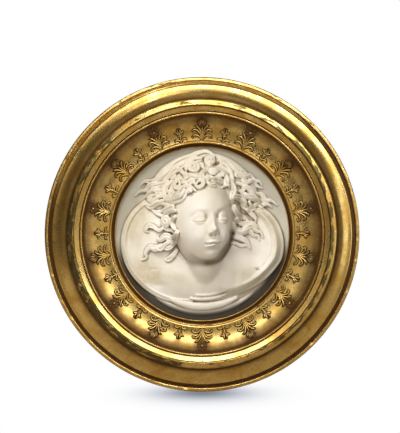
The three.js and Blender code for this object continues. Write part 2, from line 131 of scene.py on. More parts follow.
# The marble block and the figure carved on it
SLAB_RADIUS = 131.2
SLAB_EDGE = 16.0
BOWL_DEPTH = 6.0
FIELD_MIDDLE = SLAB_EDGE - BOWL_DEPTH
HEAD_HEIGHT = 134.0
HEAD_WIDTH = 88.0
HEAD_DEPTH = 98.0
HEAD_CENTRE = np.array([-0.5, -22.0, 22.0])
HEAD_RADII = np.array([HEAD_WIDTH, HEAD_DEPTH, HEAD_HEIGHT]) / 2
HEAD_TURN = math.radians(18)
HEAD_TILT = math.radians(-3)
HEAD_LIFT = math.radians(-4)
HAIR_CENTRE = np.array([1.0, -10.0, 36.0])
HAIR_SPREAD = np.array([57.0, 44.0, 70.0])
MARBLE_VOXEL = 0.7
MARBLE_TRIANGLES = 197000

# Colours of the marble, the gilding, the wood and the stage
CREAM = (0.88, 0.83, 0.735, 1)
CREAM_CLOUD = (0.79, 0.72, 0.59, 1)
# Tan: stains, and painted shade inside the left wing and along the wings' rims
TAN = (0.50, 0.41, 0.23, 1)
# Grey: dust, and the frame's painted shadow on the field
GREY_DUST_AND_SHADOW = (0.36, 0.33, 0.25, 1)
# Brown: dirt in the hollows, and painted shade there
HOLLOW_DIRT_AND_SHADE = (0.30, 0.21, 0.11, 1)
# Dark brown: painted shade in the deep cuts and under the jaw
DEEP_SHADE_BROWN = (0.13, 0.08, 0.04, 1)
RUBBED_PALE = (0.92, 0.89, 0.83, 1)
# Near black: painted shadow in the slot between the wings and the frame
SLOT_SHADOW_BLACK = (0.02, 0.009, 0.002, 1)
GOLD = (0.95, 0.67, 0.23, 1)
GOLD_DARKER = (0.74, 0.44, 0.10, 1)
GOLD_SPOT = (0.50, 0.29, 0.07, 1)
RED_GROUND = (0.30, 0.12, 0.06, 1)
# Dark green: tarnish, and painted shade on the bead
GREEN_TARNISH_AND_SHADE = (0.035, 0.04, 0.018, 1)
# Brown: dirt, and painted shade on the gilding's walls, grooves and cove
FRAME_DIRT_AND_SHADE = (0.085, 0.032, 0.006, 1)
WOOD_BROWN = (0.30, 0.17, 0.08, 1)
WOOD_GRAIN = (0.15, 0.08, 0.035, 1)
WOOD_DUST = (0.34, 0.28, 0.20, 1)
WHITE = (1, 1, 1, 1)
SHADOW_TINT = (0.87, 0.93, 1.08, 1)
DULL_PAPER = (0.42, 0.37, 0.30, 1)
WARM_ROOM = (1, 0.78, 0.55, 1)

# Lamps: name, place, width and height in metres, power, and whether they are mirrored and scattered
LAMPS = [
    ("marble_key", (-0.55, -1.3, 1.4), 1.0, 1.0, 34, False, True),
    ("marble_fill", (-0.2, -2.4, 0.2), 1.6, 1.2, 22, False, True),
    ("marble_gloss", (-0.5, -1.3, 1.5), 0.4, 0.4, 3, True, False),
    ("gold_overhead", (0.35, -2.0, 0.95), 1.7, 0.9, 24, True, False),
    ("gold_right", (1.38, -1.16, 0.0), 1.0, 1.2, 4.2, True, False),
    ("gold_top", (0.1, -0.3, 1.7), 1.2, 0.7, 0.7, True, False),
    ("behind", (0, 0.7, 1.5), 0.9, 0.5, 8, False, True),
]

# The shadow on the paper: axis, middle and reach, in metres
SHADOW = [("X", 0.0, 0.067), ("Y", -0.035, 0.095)]
SHADOW_DEPTH = 0.75


# Meshes

def grid_faces(rows, columns, wrap_rows=False, wrap_columns=False):
    """Quads of a grid of points, row by row, joined round where asked."""
    i = np.arange(rows if wrap_rows else rows - 1)[:, None]
    j = np.arange(columns if wrap_columns else columns - 1)[None, :]
    below, right = (i + 1) % rows, (j + 1) % columns
    quads = [i * columns + j, i * columns + right, below * columns + right, below * columns + j]
    return np.stack(np.broadcast_arrays(*quads), -1).reshape(-1, 4)


def volume(points, faces):
    """Signed volume of a closed mesh of quads: the sum of the tetrahedra to the origin."""
    a, b, c, d = (points[faces[:, k]] for k in range(4))
    first = np.einsum("ij,ij->i", a, np.cross(b, c))
    return (first + np.einsum("ij,ij->i", a, np.cross(c, d))).sum() / 6


def outward(points, faces):
    """The faces, turned over if the mesh was inside out."""
    return faces[:, ::-1] if volume(points, faces) < 0 else faces


def joined(parts):
    """Several pairs of points and faces as one."""
    counts = np.cumsum([0] + [len(points) for points, _ in parts])
    points = np.concatenate([points for points, _ in parts])
    return points, np.concatenate([faces + start for (_, faces), start in zip(parts, counts)])


def new_object(name, points, faces):
    """A mesh object in metres from points in millimetres and their quads."""
    mesh = bpy.data.meshes.new(name)
    mesh.vertices.add(len(points))
    mesh.vertices.foreach_set("co", (points * METRES).astype(np.float32).ravel())
    mesh.loops.add(faces.size)
    mesh.loops.foreach_set("vertex_index", faces.astype(np.int32).ravel())
    mesh.polygons.add(len(faces))
    mesh.polygons.foreach_set("loop_start", np.arange(0, faces.size, 4, dtype=np.int32))
    mesh.polygons.foreach_set("use_smooth", np.ones(len(faces), bool))
    mesh.update(calc_edges=True)
    thing = bpy.data.objects.new(name, mesh)
    bpy.context.scene.collection.objects.link(thing)
    return thing


def keep_attribute(mesh, name, values):
    """One number a vertex, kept between 0 and 1, for the materials to read."""
    attribute = mesh.attributes.new(name, "FLOAT", "POINT")
    attribute.data.foreach_set("value", np.clip(values, 0, 1).astype(np.float32))


def with_modifiers(thing):
    """The object's mesh with its modifiers applied."""
    shown = thing.evaluated_get(bpy.context.evaluated_depsgraph_get())
    mesh = bpy.data.meshes.new_from_object(shown)
    old = thing.data
    thing.modifiers.clear()
    thing.data = mesh
    bpy.data.meshes.remove(old)
    return mesh


def places_of(mesh):
    """The mesh's vertices as an array, in millimetres."""
    flat = np.empty(len(mesh.vertices) * 3, np.float32)
    mesh.vertices.foreach_get("co", flat)
    return flat.reshape(-1, 3).astype(float) / METRES


def smooth_curve(points, steps):
    """Points on a Catmull-Rom curve through the given rows, evenly spaced in its parameter."""
    points = np.asarray(points, float)
    padded = np.concatenate([[2 * points[0] - points[1]], points, [2 * points[-1] - points[-2]]])
    t = np.linspace(0, len(points) - 1, steps)
    k = np.minimum(t.astype(int), len(points) - 2)
    f = (t - k)[:, None]
    a, b, c, d = padded[k], padded[k + 1], padded[k + 2], padded[k + 3]
    return 0.5 * (2 * b + (c - a) * f + (2 * a - 5 * b + 4 * c - d) * f ** 2
                  + (3 * b - a - 3 * c + d) * f ** 3)


def bump(u, w, centre_u, centre_w, radius_u, radius_w):
    """A smooth hill of height 1: a Gaussian with its own radius each way."""
    return np.exp(-((u - centre_u) / radius_u) ** 2 - ((w - centre_w) / radius_w) ** 2)


def ridge(distance, width):
    """1 on a line, falling to 0 away from it."""
    return np.exp(-(distance / width) ** 2)


def step(distance, width):
    """0 on the negative side of an edge and 1 on the positive side, with a soft turn."""
    return 0.5 * (1 + np.tanh(distance / width))


def softest(a, b, blend):
    """The larger of two heights, with a rounded inner corner where they meet."""
    gap = np.clip(0.5 + 0.5 * (a - b) / blend, 0, 1)
    return b + (a - b) * gap + blend * gap * (1 - gap)


# The turned frame

def stretch(start, end, grime_and_shade, wear, spacing=1.4):
    """Points along a straight stretch of a section, with its dirt and painted shade and how worn it is."""
    steps = max(2, round(math.dist(start, end) / spacing) + 1)
    share = np.linspace(0, 1, steps)[:, None]
    points = np.array(start) * (1 - share) + np.array(end) * share
    return np.column_stack([points, np.full(steps, grime_and_shade), np.full(steps, wear)])


def rounded(centre, radii, start, end, grime_and_shade, wear, spacing=1.2):
    """Points along an elliptical arc of a section, with its dirt and painted shade and its wear given at both
    ends.
    """
    steps = max(6, round(math.radians(abs(end - start)) * max(radii) / spacing))
    share = np.linspace(0, 1, steps)
    angle = np.radians(start + (end - start) * share)
    return np.column_stack([
        centre[0] + radii[0] * np.cos(angle), centre[1] + radii[1] * np.sin(angle),
        grime_and_shade[0] + (grime_and_shade[1] - grime_and_shade[0]) * share ** 2, wear[0] + (wear[1] - wear[0]) * share,
    ])


def frame_section():
    """The turned section, out along the back and in along the front: radius, height, dirt and painted shade,
    wear.
    The front has a rounded lip with a groove under it, an outer cove, a bead with a sloping top, a
    sloping band, a thin edge, the ornament cove, the sight bead and the hollow wall behind it.
    Coves and edges are arcs of ellipses, and the rest is straight."""
    lip_edge, lip_side = FRAME_RADIUS - LIP_ROUND, LIP_HEIGHT - LIP_ROUND
    groove_floor = LIP_HEIGHT - GROOVE_DEPTH
    outer_cove = (OUTER_COVE_OUTER, BEAD_HEIGHT), (OUTER_COVE_WIDTH, BEAD_HEIGHT - OUTER_COVE_FLOOR)
    bead_inner = BEAD_CENTRE - BEAD
    cove = (ORNAMENT_INNER, FILLET_HEIGHT), (ORNAMENT_WIDTH, ORNAMENT_RISE)
    wall = SIGHT_BEAD_CENTRE - SIGHT_BEAD
    fillet = FILLET_HEIGHT
    # Grime here is dirt and painted shade in the grooves, and painted shade on the bead's inner wall, on the
    # sight wall and on the ornament cove's outer half, fading inwards
    return np.concatenate([
        stretch((SEAT_RADIUS, 0), (FRAME_RADIUS - 1, 0), 0, 0, 8),
        stretch((FRAME_RADIUS, 1), (FRAME_RADIUS, lip_side), 0.3, 0.4, 3),
        rounded((lip_edge, lip_side), (LIP_ROUND, LIP_ROUND), 0, 90, (0.45, 0), (0.5, 0.6), 0.5),
        stretch((lip_edge - 0.4, LIP_HEIGHT), (LIP_INNER + 0.3, LIP_HEIGHT), 0.1, 0.6, 0.8),
        stretch((LIP_INNER, LIP_HEIGHT - 0.4), (LIP_INNER - 0.7, groove_floor), 1, 0, 0.8),
        stretch((LIP_INNER - 1.2, groove_floor), (OUTER_COVE_OUTER + 0.5, OUTER_COVE_FLOOR - 0.7), 1, 0, 0.8),
        rounded(*outer_cove, -90, -178, (0, 1.5), (0.1, 0)),
        rounded((BEAD_CENTRE + 1.2, BEAD_HEIGHT + 0.2), (BEAD - 1.2, 3.2), 2, 78, (0.7, 0), (0.2, 0.6), 0.8),
        stretch((BEAD_CENTRE + 1.4, BEAD_HEIGHT + 3.4), (BEAD_CENTRE - 3.5, BEAD_HEIGHT + 4.4), 0, 0.6, 0.8),
        rounded((BEAD_CENTRE - 3.7, BEAD_HEIGHT + 3.6), (0.8, 0.8), 80, 170, (0, 0.6), (0.8, 0.4), 0.4),
        stretch((bead_inner - 0.1, BEAD_HEIGHT + 2.4), (BAND_OUTER + 0.3, fillet + 3.4), 1, 0, 0.9),
        stretch((BAND_OUTER - 0.1, fillet + 3.3), (BAND_INNER + 0.9, fillet + 1.7), 0.1, 0.25, 0.8),
        rounded((BAND_INNER + 0.8, fillet + 0.8), (0.8, 0.9), 100, 180, (0, 0.6), (0.3, 0.2), 0.4),
        stretch((BAND_INNER - 0.1, fillet - 1.2), (BAND_INNER - 0.9, fillet - 1.2), 1, 0, 0.4),
        rounded((FILLET_OUTER, fillet - 0.2), (1.2, 1.1), 10, 170, (0.1, 0), (0.2, 0.2), 0.4),
        stretch((FILLET_OUTER - 1.4, fillet - 0.6), (ORNAMENT_OUTER + 0.3, fillet - 0.8), 1, 0.1, 0.8),
        rounded(*cove, -3, -30, (0.9, 0.66), (0, 0)),
        rounded(*cove, -31, -62, (0.66, 0.1), (0, 0)),
        rounded(*cove, -63, -90, (0.1, 0), (0, 0)),
        stretch((ORNAMENT_INNER - 0.3, ORNAMENT_FLOOR - 0.3),
                (ORNAMENT_INNER - 1, ORNAMENT_FLOOR - SIGHT_GROOVE_DEPTH), 1, 0, 0.6),
        rounded((SIGHT_BEAD_CENTRE, ORNAMENT_FLOOR), (SIGHT_BEAD, SIGHT_BEAD),
                -8, 188, (0.3, 0), (0.8, 0.8), 0.5),
        rounded((wall - 0.2, ORNAMENT_FLOOR - 0.6), (wall - SIGHT_EDGE, ORNAMENT_FLOOR - SEAT_DEPTH - 1.8),
                -92, -178, (1, 1), (0, 0), 0.8),
        rounded((SIGHT_EDGE - 0.6, SEAT_DEPTH + 0.6), (0.6, 0.6), 20, 160, (0.4, 0.2), (0.8, 0.8), 0.3),
        stretch((SIGHT_RADIUS + 0.4, SEAT_DEPTH), (SEAT_RADIUS, SEAT_DEPTH), 1, 0, 4),
        stretch((SEAT_RADIUS, SEAT_DEPTH - 1), (SEAT_RADIUS, 1), 0, 0, 6),
    ])


def around(angle, radius, height):
    """Points at an angle clockwise from twelve o'clock, a radius and a height from the wall."""
    return np.stack(np.broadcast_arrays(radius * np.sin(angle), -height, radius * np.cos(angle)), -1)


def dents(angle, radius, seed, count, zone, size, depth):
    """Knocks in an edge: hills of random place and size, to be taken off the surface."""
    rng = np.random.default_rng(seed)
    total = np.zeros(np.broadcast_shapes(angle.shape, radius.shape))
    for _ in range(count):
        place, middle = rng.uniform(0, 2 * math.pi), rng.uniform(*zone)
        width, deep = rng.uniform(*size), rng.uniform(*depth)
        apart = (angle - place + math.pi) % (2 * math.pi) - math.pi
        total += deep * ridge(apart * middle, width * rng.uniform(1, 2.5)) * ridge(radius - middle, width)
    return total


def turned_grime_and_shade(angle, radius, height, grime_and_shade):
    """The section's own dirt and painted shade, lightened at the top of the groove under the lip as painted
    light, with painted shade added along that groove's lower half, and the dirt that has settled round the
    palmettes."""
    # Painted light: less grime at the top of the groove under the lip; painted shade: more along its lower
    # half
    upper = step(np.cos(angle + 0.3) - 0.55, 0.2) * (np.abs(radius - GROOVE_MIDDLE) < 3)
    lower = step(-np.cos(angle) - 0.1, 0.3) * ridge(radius - GROOVE_MIDDLE, 2.4) * (height < LIP_HEIGHT - 0.2)
    settled = ornament_grime(angle, radius) * (height > ORNAMENT_FLOOR - 0.1)
    return grime_and_shade * (1 - 0.75 * upper) + lower + settled


def turned_tarnish_and_shade(angle, radius, height, wear):
    """Green tarnish, a little with the wear and a little all round the bead, and dark green painted shade on
    the bead, all over its left side and on the inner slope of its right side."""
    on_bead = step(BEAD + 1.5 - np.abs(radius - BEAD_CENTRE), 0.5) * (height > BEAD_HEIGHT - 2)
    # Painted shade: the bead dark green over its left side and on the inner slope of its right side
    left = step(-np.sin(angle + 0.35) - 0.55, 0.3)
    right = step(np.sin(angle) - 0.45, 0.2) * step(BEAD_CENTRE + 0.6 - radius, 0.8)
    return 0.3 * wear + on_bead * (0.12 + 0.95 * left + 0.7 * right)


def build_frame():
    """The section turned about the front-facing axis, with a slight wobble of the wood and knocks
    along the lip, the bead and the fillet. Its UV map is the way round and the way along the
    section."""
    section = frame_section()
    angle = np.linspace(0, 2 * math.pi, TURNED_STEPS, endpoint=False)[:, None]
    radius, height, grime_and_shade, wear = (section[:, k][None, :] for k in range(4))
    knocks = sum(dents(angle, radius, *values) for values in KNOCKS)
    knocks *= height > SEAT_DEPTH
    wobble = 0.12 * np.sin(3 * angle + radius / 9) + 0.08 * np.sin(7 * angle - radius / 5)
    front = np.clip((height - ORNAMENT_FLOOR + 4) / 4, 0, 1)
    points = around(angle, radius, height - (knocks + 0.2 + wobble) * front)
    faces = grid_faces(TURNED_STEPS, len(section), True, True)
    flat = points.reshape(-1, 3)
    piece = new_object("gilded_moulding", flat, outward(flat, faces))
    keep_attribute(piece.data, "grime_and_shade", turned_grime_and_shade(angle, radius, height, grime_and_shade).ravel())
    keep_attribute(piece.data, "wear", (wear + 1.4 * knocks).ravel())
    keep_attribute(piece.data, "tarnish_and_shade", turned_tarnish_and_shade(angle, radius, height, wear).ravel())
    along = np.concatenate([[0], np.cumsum(np.hypot(*np.diff(section[:, :2], axis=0).T))])
    add_turned_map(piece.data, angle, along)
    return piece


def add_turned_map(mesh, angle, along):
    """A UV map with the way round in u and the way along the section in v, both in metres."""
    u = np.broadcast_to(angle * BEAD_CENTRE * METRES, (len(angle), len(along))).ravel()
    v = np.broadcast_to(along[None, :] * METRES, (len(angle), len(along))).ravel()
    corners = np.empty(len(mesh.loops), np.int32)
    mesh.loops.foreach_get("vertex_index", corners)
    turned = np.column_stack([u[corners], v[corners]]).reshape(-1, 4, 2)
    length = 2 * math.pi * BEAD_CENTRE * METRES
    crossing = np.ptp(turned[..., 0], axis=1) > length / 2
    turned[crossing, :, 0] += np.where(turned[crossing, :, 0] < length / 2, length, 0)
    mesh.uv_layers.new(name="turned").data.foreach_set("uv", turned.astype(np.float32).ravel())


# Palmettes raised in the cove

def on_cove(angle, along, across, lift):
    """A place on the ornament cove: across from the sight outwards, along from the motif's middle
    line, and lift square off the surface. The cove is a quarter ellipse."""
    share = np.clip(across / ORNAMENT_WIDTH, 0, 0.99)
    hollow = np.sqrt(1 - share ** 2)
    slope = ORNAMENT_RISE * share / (ORNAMENT_WIDTH * hollow)
    length = np.hypot(slope, 1)
    radius = ORNAMENT_INNER + across - lift * slope / length
    height = FILLET_HEIGHT - ORNAMENT_RISE * hollow + lift / length
    return around(angle + along / radius, radius, height)


def leaf_stroke(line, rise, crease=0.0, steps=15):
    """A carved stroke: rows of along, across, height, from a rounded ridge with a narrow skirt on
    either side, carried along a line of (along, across, half width). Its foot is 0.12 off the drawn
    cove and its two ends are open. A crease runs down a leaf."""
    path = smooth_curve(line, steps)
    ahead = np.gradient(path[:, :2], axis=0)
    ahead /= np.linalg.norm(ahead, axis=1)[:, None]
    half = np.maximum(1.3 * path[:, 2], 0.02)
    place = np.array([-1, -1, -0.82, -0.42, 0, 0.42, 0.82, 1, 1])
    skirt = np.array([-1, 0, 0, 0, 0, 0, 0, 0, 1]) * SKIRT
    ring = np.array([0, 0.1, 0.6, 0.92, 1 - crease, 0.92, 0.6, 0.1, 0])
    swell = (half / half.max()) ** 0.6 * rise * 0.85
    share = np.linspace(0, 1, steps)
    swell = swell * (0.75 + 0.25 * np.sin(math.pi * share))
    aside = half[:, None] * place + skirt * np.minimum(half / 0.4, 1)[:, None]
    along = path[:, :1] - ahead[:, 1:] * aside
    across = path[:, 1:2] + ahead[:, :1] * aside
    return np.stack([along, across, swell[:, None] * ring[None, :] + 0.12], -1)


def button(along, across, radius, rise):
    """A round button on the cove as a short fat stroke."""
    across_line = [across - radius, across - radius * 0.7, across, across + radius * 0.7, across + radius]
    widths = [0.02, radius * 0.72, radius, radius * 0.72, 0.02]
    return leaf_stroke([(along, place, width) for place, width in zip(across_line, widths)], rise)


def mirrored(line):
    """The same line on both sides of a motif."""
    return [[(side * along, across, half) for along, across, half in line] for side in (-1, 1)]


def scroll_lines(scale=1.0):
    """The pair of ribs that leave the foot, bend outwards and hook back towards the sight."""
    return mirrored([(along * scale, across * scale + 1.0, half) for along, across, half in SCROLL])


def large_motif(rosette):
    """A palmette: two hooked scrolls, two pairs of ribs bending out, a stem, a button in each hook,
    and a rosette of round leaves or a bud of pointed leaves on top."""
    parts = [leaf_stroke(line, 1.3) for line in scroll_lines()]
    parts += [leaf_stroke(line, 1.4) for rib in RIBS for line in mirrored(rib)]
    parts.append(leaf_stroke(STEM, 1.4))
    parts += [button(side * along, across, 0.95, 1.4) for side in (-1, 1) for along, across in SCROLL_BUTTONS]
    if rosette:
        for k in range(ROSETTE_LEAVES):
            turn = 2 * math.pi * k / ROSETTE_LEAVES
            line = [(math.sin(turn) * reach, math.cos(turn) * reach + ROSETTE_MIDDLE, half)
                    for reach, half in ROSETTE_LEAF]
            parts.append(leaf_stroke(line, 1.0, 0.3, 9))
        parts.append(button(0, ROSETTE_MIDDLE, 1.5, 1.5))
    else:
        parts += [leaf_stroke(line, 1.2, 0.2, 11) for line in mirrored(BUD_OUTER)]
        parts += [leaf_stroke(line, 1.3, 0.2, 11) for line in mirrored(BUD_INNER)]
        parts.append(leaf_stroke(BUD_MIDDLE, 1.3))
    return parts


def small_motif():
    """The small motif between two palmettes: two hooked scrolls with buttons, a stem with a bar
    across it, a pair of short ribs and a bud of two leaves."""
    parts = [leaf_stroke(line, 1.2, 0, 11) for line in scroll_lines(0.6)]
    parts += [leaf_stroke(line, 1.3, 0, 11) for line in mirrored(SMALL_RIB)]
    parts += [leaf_stroke(line, 1.3, 0.2, 11) for line in mirrored(SMALL_LEAF)]
    parts.append(leaf_stroke(SMALL_STEM, 1.4))
    parts.append(leaf_stroke(SMALL_BAR, 1.3, 0, 9))
    return parts + [button(side * 6.0, 3.9, 0.8, 1.3) for side in (-1, 1)]


def motif_centres():
    """The middle lines of a large and a small motif in one pitch of the cove: rows of along, across
    and the motif's own angle."""
    rows = []
    for shift, parts in ((0.0, large_motif(True)), (PITCH / 2, small_motif())):
        for part in parts:
            middle = part[:, part.shape[1] // 2, :2]
            rows.append(np.column_stack([middle, np.full(len(middle), shift)]))
    return np.concatenate(rows)


def ornament_grime(angle, radius):
    """A little dirt on the cove's ground, settled round the raised strokes in the outer half of each
    motif: it falls off with the distance to their middle lines."""
    across = (radius - ORNAMENT_INNER) * np.ones_like(angle)
    inside = (across > -1) & (across < ORNAMENT_WIDTH)
    turn = (angle + PITCH / 4) % PITCH - PITCH / 4
    turns = np.broadcast_to(turn, across.shape)[inside]
    radii = np.broadcast_to(radius, across.shape)[inside]
    closest = np.full(radii.shape, 99.0)
    for along, height, shift in motif_centres():
        apart = np.hypot((turns - shift) * radii - along, radii - ORNAMENT_INNER - height)
        closest = np.minimum(closest, apart)
    nearest = np.full(across.shape, 99.0)
    nearest[inside] = closest
    return 0.2 * ridge(nearest, 1.8 + 3.0 * step(across - 22, 4)) * step(across - 18, 4)


def build_ornament():
    """All the strokes of the palmettes, turned round the cove and joined into one piece."""
    kinds = [large_motif(False), small_motif(), large_motif(True), small_motif()]
    strokes = [(k, rows) for k in range(2 * LARGE_MOTIFS) for rows in kinds[k % 4]]
    parts = []
    for k, rows in strokes:
        places = on_cove(math.pi * k / LARGE_MOTIFS, rows[..., 0], rows[..., 1], rows[..., 2])
        flat = places.reshape(-1, 3)
        parts.append((flat, outward(flat, grid_faces(*rows.shape[:2], False, True))))
    piece = new_object("palmettes", *joined(parts))
    across = np.concatenate([rows[..., 1].ravel() for _, rows in strokes])
    lift = np.concatenate([rows[..., 2].ravel() for _, rows in strokes])
    # Painted shade at the strokes' low skirts round the ribs, with dirt, more of it in each motif's outer
    # half
    keep_attribute(piece.data, "grime_and_shade", 1.5 - 1.15 * lift + 0.3 * step(across - 19, 4))
    keep_attribute(piece.data, "wear", (lift - 0.8) / 1.4)
    keep_attribute(piece.data, "tarnish_and_shade", np.full(len(lift), 0.1))
    return piece


# The head

def face_relief(x, z):
    """How far a calm child's face stands out from the plain form of the head, in millimetres.
    Places are shares of the head's height above the chin, as in a drawing manual."""
    unit = HEAD_HEIGHT / 100
    u, w = np.abs(x) / unit, (z + HEAD_HEIGHT / 2) / unit
    relief = 1.0 * bump(u, w, 0, 68, 22, 13) - 3.4 * bump(u, w, 12.8, 46.5, 8.4, 5.2)
    relief -= 1.2 * bump(u, w, 6.0, 46, 2.4, 3.2)
    relief += 0.7 * ridge(w - 54.5 + 0.02 * (u - 11) ** 2, 3) * ridge(u - 12, 8)
    relief += nose_relief(u, w - 1) + eye_relief(u - 13, w - 2.6) + mouth_relief(u, w - 0.8)
    relief += 2.6 * bump(u, w, 0, 8, 6.5, 4.2) - 1.4 * bump(u, w, 0, 13.4, 5.5, 1.7)
    relief += 3.6 * bump(u, w, 17, 25.5, 9.5, 9) - 0.6 * bump(u, w, 9.5, 24.5, 2, 4.4)
    return relief * unit


def nose_relief(u, w):
    """A short rounded nose: a low broad ridge from the brows, a ball tip, wings and openings."""
    bridge = ridge(u, 3.1 + 0.05 * (46 - w).clip(0)) * step(w - 31, 1.6) * step(48 - w, 2.5)
    relief = (1.1 + 0.2 * (46 - w).clip(0, 15)) * bridge
    relief += 5.0 * bump(u, w, 0, 30.4, 3.9, 3.5) + 2.6 * bump(u, w, 4.4, 29.2, 2.1, 2.1)
    relief -= 1.1 * bump(u, w, 7.0, 29.0, 1.1, 2.4) + 2.4 * bump(u, w, 2.3, 26.8, 1.3, 0.9)
    return relief


def eye_relief(u, w):
    """A round eye under a lowered lid: the lid follows the ball down to a curved line of lashes,
    with a crease above it and a soft fold below."""
    ball = (np.sqrt((6.9 ** 2 - u ** 2 - (w - 43.2) ** 2).clip(0)) - 2.6).clip(0)
    shape = (1 - (u / 7.4) ** 2).clip(0)
    lashes = 41.2 - 1.9 * shape
    relief = 0.8 * ball + 0.7 * step(w - lashes, 0.25) * ridge(w - lashes - 0.6, 1.6) * shape ** 0.5
    relief -= 1.1 * ridge(w - lashes + 0.35, 0.45) * shape ** 0.4
    relief += 0.5 * ridge(w - lashes + 1.9, 0.9) * shape ** 0.5
    relief -= 0.9 * ridge(w - 47.6 + 0.035 * u ** 2, 0.6) * ridge(u, 6.5)
    return relief


def mouth_relief(u, w):
    """Closed lips: a bowed upper lip, a fuller lower one, a parting line, corners and the groove
    under the nose."""
    line = 18.6 + 0.5 * ridge(u, 1.6) - 0.3 * ridge(u - 3.6, 2.0)
    reach = (1 - (u / 7.6) ** 2).clip(0)
    relief = 2.0 * bump(u, w, 0, 19.5, 9, 6)
    relief += 2.3 * ridge(w - line - 1.5 - 0.5 * ridge(u - 1.8, 1.2), 1.1) * reach ** 0.8
    relief += 2.8 * ridge(w - line + 1.8, 1.4) * (1 - (u / 6.2) ** 2).clip(0) ** 0.7
    relief -= 3.0 * ridge(w - line, 0.7) * reach ** 0.5 + 1.3 * bump(u, w, 7.4, 18.4, 1.3, 1.2)
    relief -= 0.7 * bump(u, w, 0, 23.4, 1.2, 2.0)
    return relief


def turn_about(axis, angle):
    """A rotation matrix about one of the axes."""
    cos, sin = math.cos(angle), math.sin(angle)
    matrix = np.eye(3)
    a, b = [(1, 2), (2, 0), (0, 1)][axis]
    matrix[a, a] = matrix[b, b] = cos
    matrix[a, b], matrix[b, a] = -sin, sin
    return matrix


def head(longitudes=260, latitudes=230):
    """A globe squeezed to the head's width, depth and height, narrowed at the jaw, with the face
    added along its front. Longitudes are closer together on the face."""
    t = np.linspace(0, math.pi, latitudes)[:, None]
    latitude = (t - math.pi / 2 + 0.12 * np.sin(t))
    even = np.linspace(0, 2 * math.pi, longitudes, endpoint=False)[None, :]
    longitude = even - 0.62 * np.sin(even)
    ring = np.cos(latitude).clip(0) ** np.where(latitude < 0, 0.66, 1)
    x, y = ring * np.sin(longitude), -ring * np.cos(longitude)
    z = np.sin(latitude) * np.ones_like(x)
    low = (-z).clip(0)
    x = HEAD_WIDTH / 2 * x * (1 - 0.2 * low ** 1.4)
    depth = HEAD_DEPTH / 2 * y * (1 - 0.1 * low ** 2)
    front = (-y).clip(0) ** 0.7
    z = HEAD_HEIGHT / 2 * z
    points = np.stack([x, depth - face_relief(x, z) * front, z], -1).reshape(-1, 3)
    pose = turn_about(1, HEAD_TILT) @ turn_about(2, HEAD_TURN) @ turn_about(0, HEAD_LIFT)
    return points @ pose.T + HEAD_CENTRE, grid_faces(latitudes, longitudes, False, True)


def egg(centre, radii, below, longitudes=110, latitudes=80):
    """A stretched globe, with its own radius below its centre."""
    t = np.linspace(0, math.pi, latitudes)[:, None]
    longitude = np.linspace(0, 2 * math.pi, longitudes, endpoint=False)[None, :]
    unit = np.stack(np.broadcast_arrays(
        np.sin(t) * np.cos(longitude), np.sin(t) * np.sin(longitude), np.cos(t)), -1)
    points = unit.reshape(-1, 3) * np.array(radii)
    points[:, 2] *= np.where(points[:, 2] < 0, below / radii[2], 1)
    return points + np.array(centre), grid_faces(latitudes, longitudes, False, True)


# The field, the wings and the chest, as one surface of heights

# Feathers under the chest: start and end angle, inner and outer radius, height, and its fall outwards
FEATHERS = [
    (-50, -126, 104, 115.5, 10.5, 0.25),
    (-60, -118, 96, 107.5, 16, 0.15),
    (-68, -101, 89, 94.5, 18, 0),
    (-66, -97, 84, 88.5, 19.5, 0),
]

# Marks in the chest: place, radii and depth
CHEST_MARKS = [(48, -62, 5, 9, 1.8), (77, -50, 3.5, 1.8, 2.2), (-62, -72, 8, 3, 0.9)]

# The wings. Spans are in degrees above and below the middle line, which lies at the angle mid. The
# edge, at reach, draws in by a share of drop over each span. The dish falls from its height by
# hollow each way, the rim rises by roll, and lip is the depth of the cut along it.
WING_ROOT = 30.0
LEFT_WING = dict(side=-1, reach=116.0, mid=-20, upper_span=50, upper_drop=0.2, lower_span=63,
                 lower_drop=0.15, lower_power=1.5, rim_width=6.0, rim_bow=0.6, dish=18.0, hollow=5.5,
                 roll=2.6, blend=2.0, lip=0.0)
RIGHT_WING = dict(side=1, reach=117.5, mid=-18, upper_span=44, upper_drop=0.24, lower_span=56,
                  lower_drop=0.22, lower_power=1.05, rim_width=11.5, rim_bow=0.85, dish=19.0, hollow=6.0,
                  roll=5.5, blend=1.4, lip=1.4)


def wing_rise(wing, x, z):
    """A place's angle above the wing's own middle line, in degrees."""
    return np.degrees(np.arctan2(z, np.abs(x) + 1e-6)) - wing["mid"]


def wing_edge(wing, rise):
    """The wing's edge as a radius, at an angle above its own middle line: a flat curve each way."""
    upper = wing["reach"] * (1 - wing["upper_drop"] * (rise / wing["upper_span"]).clip(0) ** 2)
    lower = 1 - wing["lower_drop"] * (-rise / wing["lower_span"]).clip(0) ** wing["lower_power"]
    return np.where(rise > 0, upper, wing["reach"] * lower)


def past_edge(wing, x, z):
    """How far outside the wing's edge a place is, in millimetres."""
    return np.hypot(x, z) - wing_edge(wing, wing_rise(wing, x, z))


def field_rise(radius):
    """The dished field's height above its lowest point."""
    return BOWL_DEPTH * np.minimum(radius / SIGHT_RADIUS, 1) ** 2


